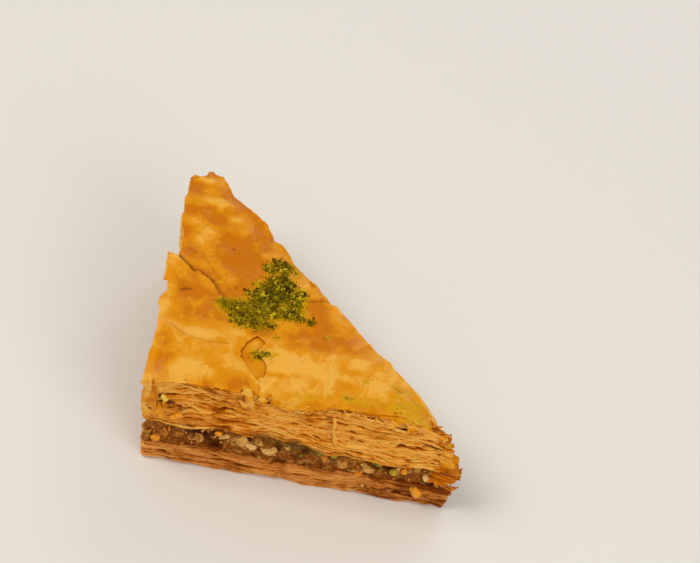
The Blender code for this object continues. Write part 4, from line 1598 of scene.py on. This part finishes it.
def end_shards():
    """A shard for each level of the sharp end, longest in the torn clump."""
    rng = random.Random(21)
    shards = []
    for index in range(SHARDS):
        z = SHARDS_LOW + index * SHARDS_STEP + rng.uniform(-0.3, 0.3)
        clump = bell(z, CLUMP_LEVEL, CLUMP_WIDTH)
        reach = TOP_REACH * end_stretch(z) + 1.4 * clump
        tip = min(reach + rng.uniform(-1.4, 0.9), SHARD_REACH)
        length = rng.uniform(2.4, 4.6) + 3.4 * clump
        half = rng.uniform(0.45, 1.0) + 0.2 * clump
        tilt = rng.uniform(-0.9, 0.9)
        y = rng.uniform(0.0, 1.2)
        stations = (
            (tip - length, y + 0.7, z - tilt / 2, half * 1.2),
            (tip - length * 0.6, y - 0.4 * clump, z + tilt / 3, half * 1.1),
            (tip - length * 0.25, y - 0.5 * clump, z + tilt, half),
            (tip - 0.3, y + 0.1, z + tilt * 1.2, half * 0.75),
            (tip, y + 0.2, z + tilt, half * 0.3),
        )
        across = (rng.uniform(-0.5, 0.3), 1, rng.uniform(-1.0, 0.7))
        shards.append((stations, across, rng.uniform(0.4, 1.1) + 0.3 * clump))
    return tuple(shards)


strips_piece("end_shards", end_shards(), 0.6)

# %% [markdown]
# ## Sprinkling crumbs over a surface
#
# Ground pistachio on top, chopped nuts at the cuts and loose scraps of leaf are the same job:
# small pieces of a few shapes, thrown on a surface, thick in one place and thin in another. One
# Geometry Nodes tree does it. It scatters points where the surface's heap attribute is high, piles
# some on others, stands a crumb on each, tumbles and scales it, and stores a random tone.

# %% Crumb shapes
CRUMB_CUTS = 7
SCRAP_THICKNESS = 0.14


def broken_lump(rng, subdivisions, cuts):
    """One broken crumb: a sphere cut by random planes and roughened."""
    lump = bmesh.new()
    bmesh.ops.create_icosphere(lump, subdivisions=subdivisions, radius=1)
    planes = []
    for _ in range(cuts):
        direction = Vector((rng.gauss(0, 1), rng.gauss(0, 1), rng.gauss(0, 1))).normalized()
        planes.append((direction, rng.uniform(0.35, 0.85)))
    size = Vector((rng.uniform(0.8, 1.1), rng.uniform(0.65, 0.95), rng.uniform(0.5, 0.8)))
    shift = Vector((rng.uniform(0, 50), 0, 0))
    for vertex in lump.verts:
        spot = vertex.co.copy()
        for direction, limit in planes:
            over = max(0, spot.dot(direction) - limit)
            spot -= direction * over
        vertex.co = spot * size * (1 + 0.22 * noise.noise(vertex.co * 2.3 + shift))
    return lump


def leaf_scrap(rng):
    """One torn scrap of leaf: a ragged, curled sheet, closed by its thickness."""
    scrap = bmesh.new()
    bmesh.ops.create_grid(scrap, x_segments=5, y_segments=3, size=1)
    curl = rng.uniform(-0.35, 0.35)
    slim = rng.uniform(0.25, 0.5)
    for vertex in scrap.verts:
        x, y, _ = vertex.co
        torn = 1 - 0.45 * abs(noise.noise(Vector((x * 1.9, y * 1.9, curl * 40))))
        vertex.co = Vector((x * torn, y * slim * torn * (1 - 0.5 * x * x), curl * x * x))
    bmesh.ops.solidify(scrap, geom=scrap.faces[:], thickness=SCRAP_THICKNESS)
    return scrap


def crumb_shapes(name, count, seed, shape, *sizes):
    """A collection of shapes about one unit in radius, for the tree to pick from."""
    rng = random.Random(seed)
    shapes = bpy.data.collections.new(name)
    for index in range(count):
        mesh = bpy.data.meshes.new(f"{name}_{index}")
        made = shape(rng, *sizes)
        bmesh.ops.recalc_face_normals(made, faces=made.faces[:])
        made.to_mesh(mesh)
        made.free()
        shapes.objects.link(bpy.data.objects.new(mesh.name, mesh))
    print(f"{name}: {count} shapes of {len(mesh.polygons)} faces")
    return shapes


FINE_CRUMBS = crumb_shapes("fine_crumbs", 5, 3, broken_lump, 1, CRUMB_CUTS)
NUT_CRUMBS = crumb_shapes("nut_crumbs", 6, 4, broken_lump, 2, CRUMB_CUTS)
LEAF_SCRAPS = crumb_shapes("leaf_scraps", 6, 9, leaf_scrap)

# %% Sprinkle tree


def random_field(tree, seed, step, low=0.0, high=1.0):
    """A random number for each point."""
    made = add_node(tree, "FunctionNodeRandomValue", {"Seed": calc(tree, "ADD", seed, step)})
    made.inputs[2].default_value = low
    made.inputs[3].default_value = high
    return made.outputs[1]


def crumb_rotation(tree, given, normal, seed):
    """Stands each crumb on the surface, then tumbles it by a random amount."""
    upright = add_node(tree, "FunctionNodeAlignRotationToVector", {"Vector": normal}, axis="Z")
    turns = [calc(tree, "MULTIPLY", random_field(tree, seed, 20 + k, -pi, pi),
                  given.outputs["Tumble"]) for k in range(2)]
    spin = random_field(tree, seed, 30, -pi, pi)
    angles = add_node(tree, "ShaderNodeCombineXYZ", {
        0: turns[0], 1: turns[1], 2: calc(tree, "MULTIPLY", spin, given.outputs["Spin"])})
    own = add_node(tree, "FunctionNodeEulerToRotation", {0: angles.outputs[0]})
    return add_node(tree, "FunctionNodeRotateRotation", {
        "Rotation": upright.outputs[0], "Rotate By": own.outputs[0]},
        rotation_space="LOCAL").outputs[0]


def sprinkle_tree():
    inputs = {
        "Surface": (GEOMETRY, None), "Density": (FLOAT, 1e6), "Smallest": (FLOAT, 0.2 * MM),
        "Largest": (FLOAT, 0.6 * MM), "Pile": (FLOAT, 0.0), "Sink": (FLOAT, 0.2),
        "Tumble": (FLOAT, 1.0), "Spin": (FLOAT, 1.0), "Seed": (INTEGER, 1),
        "Shapes": (COLLECTION, None), "Finish": (MATERIAL, None),
    }
    tree, given, result = new_group("sprinkle", "GeometryNodeTree", inputs,
                                    {"Crumbs": GEOMETRY})
    heap, seed = read_field(tree, "heap"), given.outputs["Seed"]
    density = calc(tree, "MULTIPLY", heap, given.outputs["Density"])
    points = add_node(tree, "GeometryNodeDistributePointsOnFaces", {
        "Mesh": given.outputs["Surface"], "Density": density, "Seed": seed})
    small = calc(tree, "POWER", random_field(tree, seed, 1), 2)
    size_range = calc(tree, "SUBTRACT", given.outputs["Largest"], given.outputs["Smallest"])
    size = calc(tree, "MULTIPLY_ADD", small, size_range, given.outputs["Smallest"])
    pile = calc(tree, "MULTIPLY", calc(tree, "MINIMUM", heap, 1.2), given.outputs["Pile"])
    pile = calc(tree, "MULTIPLY", pile, random_field(tree, seed, 2))
    lift = calc(tree, "SUBTRACT", pile, calc(tree, "MULTIPLY", size, given.outputs["Sink"]))
    offset = add_node(tree, "ShaderNodeVectorMath", {
        0: points.outputs["Normal"], "Scale": lift}, operation="SCALE").outputs[0]
    lifted = add_node(tree, "GeometryNodeSetPosition", {
        "Geometry": points.outputs["Points"], "Offset": offset})
    shapes = add_node(tree, "GeometryNodeCollectionInfo", {
        "Collection": given.outputs["Shapes"], "Separate Children": True,
        "Reset Children": True})
    crumbs = add_node(tree, "GeometryNodeInstanceOnPoints", {
        "Points": lifted.outputs[0], "Instance": shapes.outputs[0], "Pick Instance": True,
        "Rotation": crumb_rotation(tree, given, points.outputs["Normal"], seed),
        "Scale": size})
    toned = add_node(tree, "GeometryNodeStoreNamedAttribute", {
        "Geometry": crumbs.outputs[0], "Name": "tone", "Value": random_field(tree, seed, 4)},
        domain="INSTANCE")
    real = add_node(tree, "GeometryNodeRealizeInstances", {0: toned.outputs[0]})
    painted = add_node(tree, "GeometryNodeSetMaterial", {
        "Geometry": real.outputs[0], "Material": given.outputs["Finish"]})
    tree.links.new(painted.outputs[0], result.inputs["Crumbs"])
    return tree


SPRINKLE = sprinkle_tree()

# %% [markdown]
# ## The finish of nuts and pistachio
#
# Each crumb has its own tone, a number from 0 to 1 that the tree stored. A colour ramp turns it
# into the colours that a handful really has: for pistachio dark olive skins, green, and the
# yellow of the kernel's inside. The stops sit where the photograph has about that much of each.
# Ground to dust, pistachio is lighter and yellower, so the powder has stops of its own.

# %% Crumb materials


def crumb_material(name, stops, grain_size, wetness, glow=0.12):
    """A material whose colour follows each crumb's own tone."""
    material, tree, shader, position = food_material(name, glow, 0.8)
    grain = use_group(tree, CRUMB_GRAIN, position, Grain_Size=grain_size * MM)
    skin = spread(tree, noise_value(tree, position, 1.6 * MM, 3), 0.5, 0.62)
    tone = calc(tree, "MULTIPLY_ADD", grain["Mask"], 0.16, read_attribute(tree, "tone"))
    tone = calc(tree, "MULTIPLY_ADD", skin, -0.3, tone)
    color = color_ramp(tree, calc(tree, "SUBTRACT", tone, 0.02), stops)
    tree.links.new(color, shader.inputs["Base Color"])
    wet_finish(tree, shader, position, Patch_Size=2 * MM, Wetness=wetness, Dry_Roughness=0.65,
               Wet_Roughness=0.4)
    add_bump(tree, shader, grain["Height"], 0.1, 0.7)
    return material


PISTACHIO = crumb_material("pistachio", (
    (0.0, paint(58, 42, 2)), (0.15, paint(86, 70, 2)), (0.45, paint(116, 102, 4)),
    (0.8, paint(150, 132, 8)), (1.0, paint(222, 190, 34))), 0.3, 0.15, 0.15)
PISTACHIO_DUST = crumb_material("pistachio_dust", (
    (0.0, paint(104, 78, 2)), (0.15, paint(130, 104, 2)), (0.45, paint(158, 128, 4)),
    (0.8, paint(182, 150, 12)), (1.0, paint(220, 186, 32))), 0.3, 0.15, 0.15)
PALE_NUT = crumb_material("pale_nut", (
    (0.0, paint(132, 70, 14)), (0.35, paint(184, 116, 38)), (0.75, paint(214, 160, 80)),
    (1.0, paint(236, 192, 120))), 0.7, 0.3)
GREEN_NUT = crumb_material("green_nut", (
    (0.0, paint(100, 84, 8)), (0.4, paint(156, 138, 24)), (0.8, paint(204, 172, 48)),
    (1.0, paint(232, 200, 70))), 0.4, 0.45)
TOASTED_NUT = crumb_material("toasted_nut", (
    (0.0, paint(108, 40, 4)), (0.4, paint(184, 92, 14)), (0.75, paint(232, 138, 22)),
    (1.0, paint(246, 162, 26))), 0.5, 0.5)
SCRAP = crumb_material("leaf_scrap", (
    (0.0, paint(176, 92, 4)), (0.3, paint(214, 130, 22)), (0.7, paint(232, 156, 46)),
    (1.0, paint(246, 182, 76))), 0.6, 0.3, 0.2)

# %% [markdown]
# ## The pistachio heap
#
# The heap isn't round: it is an arm towards the back, a dense middle, a powdery patch to the left
# and a short row to the right. A few soft discs describe it. They are written onto a small patch
# of crust as the heap attribute, and the tree does the rest, once for chunks and once for powder.

# %% Pistachio
# Each disc: centre, radius in x and in y, and how thickly it is covered
CHUNKS = (
    (28.0, 41.2, 3.6, 1.9, 1.0), (24.4, 39.9, 2.0, 1.2, 0.6), (32.0, 42.0, 1.5, 1.2, 1.0),
    (27.6, 36.6, 2.6, 2.8, 0.9), (30.8, 35.6, 1.4, 1.2, 0.6), (28.6, 32.6, 4.8, 3.0, 1.2),
    (33.0, 31.8, 2.2, 1.8, 1.0), (24.2, 30.6, 3.0, 2.0, 1.0), (25.8, 27.6, 3.4, 2.6, 1.0),
    (30.0, 25.0, 2.4, 1.5, 0.8), (34.0, 24.7, 3.0, 0.8, 1.0), (37.9, 24.9, 1.2, 0.7, 1.2),
    (21.4, 22.2, 3.2, 2.2, 0.8), (28.2, 20.9, 1.4, 1.2, 0.5), (26.8, 12.0, 1.9, 1.1, 1.0),
    (20.2, 31.0, 0.8, 0.6, 0.6), (17.5, 26.0, 3.0, 1.6, 0.35), (24.6, 18.9, 0.7, 0.6, 0.6),
    (33.0, 28.8, 1.8, 1.8, 0.7), (32.6, 26.2, 2.2, 1.0, 0.6),
)
POWDER = (
    (28.3, 40.6, 3.8, 2.2, 0.8), (28.0, 32.6, 5.6, 3.8, 1.0), (19.6, 26.0, 5.2, 2.4, 1.1),
    (22.0, 22.6, 4.2, 2.8, 1.1), (15.4, 26.4, 2.0, 1.0, 0.8), (26.0, 26.6, 4.2, 3.2, 1.0),
    (32.0, 24.8, 4.8, 1.2, 0.8), (26.8, 21.0, 3.0, 2.0, 0.6), (26.9, 12.0, 2.6, 1.5, 0.7),
    (29.6, 17.8, 1.2, 1.0, 0.4), (42.6, 20.8, 0.9, 0.9, 0.3), (50.2, 3.4, 1.4, 1.0, 0.4),
    (64.0, 4.6, 4.2, 1.8, 0.012), (54.0, 3.4, 3.0, 1.4, 0.012), (53.6, 9.2, 1.2, 0.9, 0.1),
    (62.6, 8.4, 0.9, 0.7, 0.25), (33.2, 28.6, 2.4, 2.4, 0.8), (33.0, 26.2, 3.0, 1.4, 0.7),
)
HEAP_START, HEAP_SIZE, HEAP_SPACING = (12.0, 1.4), (58.0, 44.0), 0.6
HEAP_LIMIT = MAX_HEIGHT - 1.3
HEAP_BORDER = TOP_REACH - 1.2


def on_crust(x, y):
    """The crust's level, of whichever leaf is on top there."""
    back = line_distance(x, y, TORN_EDGE)[0] < 0 or inside(x, y, hole_ring)
    return back_level(x, y) if back else front_level(x, y)


def heap_ground(name, discs):
    """A grid of crust under the heap, with its cover stored as an attribute."""
    columns, rows = (int(size / HEAP_SPACING) for size in HEAP_SIZE)
    points, heap = [], []
    for row in range(rows + 1):
        for column in range(columns + 1):
            x, y = HEAP_START[0] + column * HEAP_SPACING, HEAP_START[1] + row * HEAP_SPACING
            cover = disc_sum(x, y, discs, 3, 1.6) * (0.8 + 0.6 * ripple(x, y, 1.4, 5.5))
            points.append(place(x, y, min(on_crust(x, y), HEAP_LIMIT) if cover > 0 else HEIGHT))
            heap.append(max(0, cover) if x + y < HEAP_BORDER else 0.0)
    width = columns + 1
    faces = [(a, a + 1, a + width + 1, a + width)
             for row in range(rows) for a in range(row * width, row * width + columns)]
    ground = new_piece(name, points, faces)
    set_attribute(ground, "heap", heap)
    return ground


pistachio_chunks = apply_nodes(heap_ground("chunk_ground", CHUNKS), "pistachio_chunks", SPRINKLE, {
    "Density": 6e6, "Smallest": 0.2 * MM, "Largest": 0.78 * MM, "Pile": 0.45 * MM,
    "Sink": -0.2, "Seed": 11, "Shapes": NUT_CRUMBS, "Finish": PISTACHIO})
finish_piece(pistachio_chunks, "top_pastry")
pistachio_powder = apply_nodes(heap_ground("powder_ground", POWDER), "pistachio_powder", SPRINKLE, {
    "Density": 32e6, "Smallest": 0.1 * MM, "Largest": 0.28 * MM, "Pile": 0.4 * MM,
    "Sink": 0.0, "Seed": 17, "Shapes": FINE_CRUMBS, "Finish": PISTACHIO_DUST})
finish_piece(pistachio_powder, "top_pastry")

# %% [markdown]
# ## Nuts and scraps at the cut sides
#
# The filling is chopped nuts in syrup. The knife cuts through it, so broken nuts stand out of
# the paste all round, and scraps of leaf cling to the cut above. A strip of wall, with the cover
# stored on it, is sprinkled once for each kind: pale nuts, toasted ones, the pistachios that
# gather towards the right, the few that have fallen onto the bottom leaves, and the scraps.

# %% Walls to sprinkle
WALL_STEP, WALL_ROWS = 0.8, 12
NUT_ROOM = 0.7
END_GAP = 3
FALLEN_LEVEL = 1.4


def wall(name, low, high, set_back, cover):
    """A cut side as an open strip, with a cover that depends on the place."""
    ring = walk(OUTLINE, WALL_STEP)
    points, heap = [], []
    for row in range(WALL_ROWS + 1):
        for x, y in ring:
            px, py = inwards(x, y, set_back)
            bottom, top = low(px, py), high(px, py)
            z = bottom + (top - bottom) * row / WALL_ROWS
            px *= end_stretch(z)
            points.append(place(px, py, z))
            pocket = y < FRONT_DEPTH and min(pocket_reaches(px, py, z)) < 1
            bare = pocket or end_distance(x, y) <= END_GAP
            heap.append(0.0 if bare else max(0, cover(px, py, z)))
    made = new_piece(name, points, ring_faces(WALL_ROWS, len(ring)))
    set_attribute(made, "heap", heap)
    return made


def nut_low(x, y):
    return sagging_bottom(x, y) + NUT_ROOM


def nut_high(x, y):
    return sagging_top(x, y) - NUT_ROOM


def fallen_low(x, y):
    return FALLEN_LEVEL


print("rows of a wall:", WALL_ROWS)

# %% Where each kind lies


def pale_cover(x, y, z):
    front = bell(x, 24, 12) * (y < FRONT_DEPTH)
    return 0.6 + 0.9 * ripple(x + y, z, 5, 2.2) + 0.4 * front - 0.6 * bell(x, 42, 6)


def toasted_cover(x, y, z):
    return 0.6 + 0.9 * ripple(x + y, z, 4, 7.4)


def green_cover(x, y, z):
    return 0.15 + 0.9 * bell(x, 52, 9) + 0.5 * ripple(x + y, z, 4, 9.4)


def fallen_cover(x, y, z):
    return 0.1 + 1.6 * ripple(x + y, z, 6, 3.7)


def scrap_cover(x, y, z):
    return 0.8 + 1.1 * ripple(x + y, z, 6, 4.4)


print("pistachios at x 20 and x 52:", round(green_cover(20, 0, 11), 2), round(green_cover(52, 0, 11), 2))

# %% Nuts and scraps
# Each kind: its name and cover, nuts for each square metre, largest radius, finish and seed
NUT_KINDS = (
    ("pale_nuts", pale_cover, 2.2e5, 1.5, PALE_NUT, 31),
    ("toasted_nuts", toasted_cover, 1.4e5, 1.2, TOASTED_NUT, 37),
    ("green_nuts", green_cover, 1.6e5, 1.1, GREEN_NUT, 41),
)
for name, cover, density, largest, finish, seed in NUT_KINDS:
    nut_wall = wall(name + "_wall", nut_low, nut_high, 1.1, cover)
    nuts = apply_nodes(nut_wall, name, SPRINKLE, {
        "Density": density, "Smallest": 0.4 * MM, "Largest": largest * MM, "Sink": 0.4,
        "Seed": seed, "Shapes": NUT_CRUMBS, "Finish": finish})
    finish_piece(nuts, "nut_filling")

fallen_wall = wall("fallen_wall", fallen_low, sagging_bottom, 0.3, fallen_cover)
fallen_nuts = apply_nodes(fallen_wall, "fallen_nuts", SPRINKLE, {
    "Density": 1.6e5, "Smallest": 0.3 * MM, "Largest": 1.0 * MM, "Sink": 0.3, "Seed": 47,
    "Shapes": NUT_CRUMBS, "Finish": PALE_NUT})
finish_piece(fallen_nuts, "bottom_pastry")

scrap_wall = wall("scrap_wall", sagging_top, crust_underside, 0.35, scrap_cover)
leaf_scraps = apply_nodes(scrap_wall, "leaf_scraps", SPRINKLE, {
    "Density": 1.3e5, "Smallest": 0.6 * MM, "Largest": 1.8 * MM, "Sink": 0.1, "Tumble": 0.08,
    "Spin": 0.1, "Seed": 53, "Shapes": LEAF_SCRAPS, "Finish": SCRAP})
finish_piece(leaf_scraps, "top_pastry")

# %% [markdown]
# ## Single nuts
#
# Some nuts and crumbs are big or bright enough to find again in the photograph. They are listed
# one by one, each a broken lump of its own, turned at random, half sunk in the cut.

# %% Single nuts
SINGLE_CUTS = 5
# Each nut: its place, half its length, and its tone
SINGLE_NUTS = {
    "toasted_single": (TOASTED_NUT, "nut_filling", (
        (70.4, -0.1, 5.3, 2.1, 0.9), (78.0, 1.0, 6.0, 1.8, 0.4), (3.6, 0.6, 8.6, 1.6, 0.8),
        (66.8, 0.7, 12.3, 1.4, 1.0), (46.5, 0.6, 12.6, 0.9, 0.6), (43.0, 29.3, 13.6, 1.4, 0.7),
        (19.6, 0.4, 15.0, 1.3, 1.0), (55.6, 0.6, 8.6, 1.3, 0.8))),
    "green_single": (GREEN_NUT, "nut_filling", (
        (64.2, 0.5, 11.3, 1.4, 0.75), (60.3, 0.8, 13.4, 1.3, 0.2), (59.0, 0.8, 14.0, 1.0, 0.15),
        (45.6, 0.8, 13.6, 1.2, 0.25), (49.0, 0.8, 13.2, 1.1, 0.35))),
    "pale_single": (PALE_NUT, "nut_filling", (
        (14.2, 1.3, 11.4, 2.2, 0.5), (10.0, 1.3, 12.0, 1.8, 0.3), (24.6, 1.0, 13.6, 2.4, 0.7),
        (27.9, 0.9, 12.4, 2.4, 0.9), (32.6, 0.9, 11.6, 2.5, 0.8), (30.2, 1.2, 13.4, 1.9, 0.7),
        (57.6, 1.1, 11.0, 2.2, 0.7), (54.3, 1.2, 9.4, 1.9, 0.6), (51.3, 1.3, 10.4, 1.9, 0.5),
        (20.6, 1.3, 12.8, 1.6, 0.7), (5.6, 1.3, 11.4, 1.8, 0.35))),
    "stray_bits": (GREEN_NUT, "top_pastry", (
        (5.6, -0.6, 28.3, 1.0, 1.2), (5.9, -0.6, 27.3, 0.9, 1.1), (4.6, -0.5, 28.0, 0.5, -0.2),
        (75.8, 0.3, 27.2, 1.1, 1.2))),
    "golden_bits": (TOASTED_NUT, "top_pastry", (
        (4.2, -0.6, 22.0, 0.9, 1.3), (4.7, -0.6, 20.4, 1.0, 1.3), (9.4, -0.5, 21.2, 1.1, 1.3),
        (8.2, -0.5, 20.2, 1.2, 1.3), (8.8, -0.4, 18.8, 0.8, 1.1))),
    "dark_bits": (TOASTED_NUT, "top_pastry", (
        (2.1, -0.5, 22.6, 0.7, -0.3), (1.4, -0.5, 23.4, 0.5, -0.2), (3.7, -0.4, 24.2, 0.4, -0.2),
        (6.8, -0.3, 25.6, 0.7, -0.3), (7.8, -0.3, 25.8, 0.6, -0.2), (9.6, -0.3, 24.8, 0.6, -0.2),
        (4.6, -0.3, 27.6, 0.5, -0.3), (10.0, -0.3, 23.6, 0.4, -0.1),
        (42.6, 30.4, 34.1, 1.3, 0.9), (39.4, 33.0, 34.0, 1.0, 0.7), (41.0, 31.6, 33.9, 0.9, 0.8))),
}


def single_nuts(name, finish, node, nuts, seed):
    """Broken lumps at given places, as one piece."""
    rng = random.Random(seed)
    points, faces, tones = [], [], []
    for x, y, z, size, tone in nuts:
        lump = broken_lump(rng, 3, SINGLE_CUTS)
        turn = Matrix.Rotation(rng.uniform(0, 2 * pi), 3, "Z")
        start = len(points)
        for vertex in lump.verts:
            spot = turn @ vertex.co * size
            front = max(y + 0.7 * spot.y, STANDS_OUT)
            points.append(place(x + spot.x, front, z + 1.2 * spot.z))
            tones.append(tone)
        faces += [tuple(start + v.index for v in face.verts) for face in lump.faces]
        lump.free()
    piece = new_piece(name, points, faces)
    set_attribute(piece, "tone", tones)
    finish_piece(piece, node, finish)


for seed, (name, (finish, node, nuts)) in enumerate(SINGLE_NUTS.items()):
    single_nuts(name, finish, node, nuts, 60 + seed)

# %% [markdown]
# ## Floor, light and camera
#
# A pale floor and large soft lights keep the shadows gentle, as on a kitchen table near a window.
# The camera stands where the photographer's did, about half a metre away and looking down at 50
# degrees, and it is rolled a little, so the front cut slopes down to the right.

# %% Stage
FLOOR_REACH = 1.0
WARM_WHITE = (1.0, 0.98, 0.95)
LIGHT_TARGET = Vector((0, 0, 0.02))


def build_floor():
    signs = ((-1, -1), (1, -1), (1, 1), (-1, 1))
    corners = [Vector((x * FLOOR_REACH, y * FLOOR_REACH, 0)) for x, y in signs]
    floor = new_piece("floor", corners, [(0, 1, 2, 3)])
    material = bpy.data.materials.new("pale_floor")
    material.use_nodes = True
    shader = material.node_tree.nodes["Principled BSDF"]
    shader.inputs["Base Color"].default_value = paint(232, 228, 220)
    shader.inputs["Roughness"].default_value = 0.7
    floor.data.materials.append(material)


def add_light(name, location, size, power):
    """A square soft light that points at the piece."""
    light = bpy.data.lights.new(name, "AREA")
    light.size = size
    light.energy = power
    light.color = WARM_WHITE
    lamp = bpy.data.objects.new(name, light)
    lamp.location = location
    direction = LIGHT_TARGET - Vector(location)
    lamp.rotation_euler = direction.to_track_quat("-Z", "Y").to_euler()
    bpy.context.scene.collection.objects.link(lamp)
    print(f"{name} light: {power} W from {round(direction.length, 2)} m")


build_floor()
add_light("key", (-0.45, -0.1, 0.85), 0.45, 4.2)
add_light("fill", (0.5, -0.6, 0.5), 0.6, 3.1)
add_light("rim", (0.25, 0.65, 0.5), 0.5, 1.4)
world = bpy.data.worlds.new("studio")
world.use_nodes = True
background = world.node_tree.nodes["Background"]
background.inputs["Color"].default_value = (*WARM_WHITE, 1)
background.inputs["Strength"].default_value = 0.35
bpy.context.scene.world = world
bpy.context.scene.view_settings.view_transform = "Standard"

# %% [markdown]
# ### The camera
#
# It was fitted to the photograph. Its place is in millimetres from the square corner, two
# directions say where its right and its top point, and the focal length is in pixels.

# %% Camera
CAMERA_PLACE = (58.489, -374.550, 544.810)
CAMERA_RIGHT = Vector((0.98553, 0.14002, 0.09551))
CAMERA_UP = Vector((-0.16876, 0.75807, 0.62996))
CAMERA_BACK = CAMERA_RIGHT.cross(CAMERA_UP)
FOCAL_PIXELS, IMAGE_WIDTH = 2600, 700
CENTRE_SHIFT = (-14.63, -19.73)
SENSOR = 36.0

camera_data = bpy.data.cameras.new("camera")
camera_data.sensor_width = SENSOR
camera_data.lens = FOCAL_PIXELS / IMAGE_WIDTH * SENSOR
camera_data.shift_x = CENTRE_SHIFT[0] / IMAGE_WIDTH
camera_data.shift_y = CENTRE_SHIFT[1] / IMAGE_WIDTH
camera_data.clip_start = 0.01
camera = bpy.data.objects.new("camera", camera_data)
turn = Matrix((CAMERA_RIGHT, CAMERA_UP, CAMERA_BACK)).transposed()
camera.matrix_world = Matrix.Translation(place(*CAMERA_PLACE)) @ turn.to_4x4()
bpy.context.scene.collection.objects.link(camera)
bpy.context.scene.camera = camera
print("lens:", round(camera_data.lens, 1), "mm")
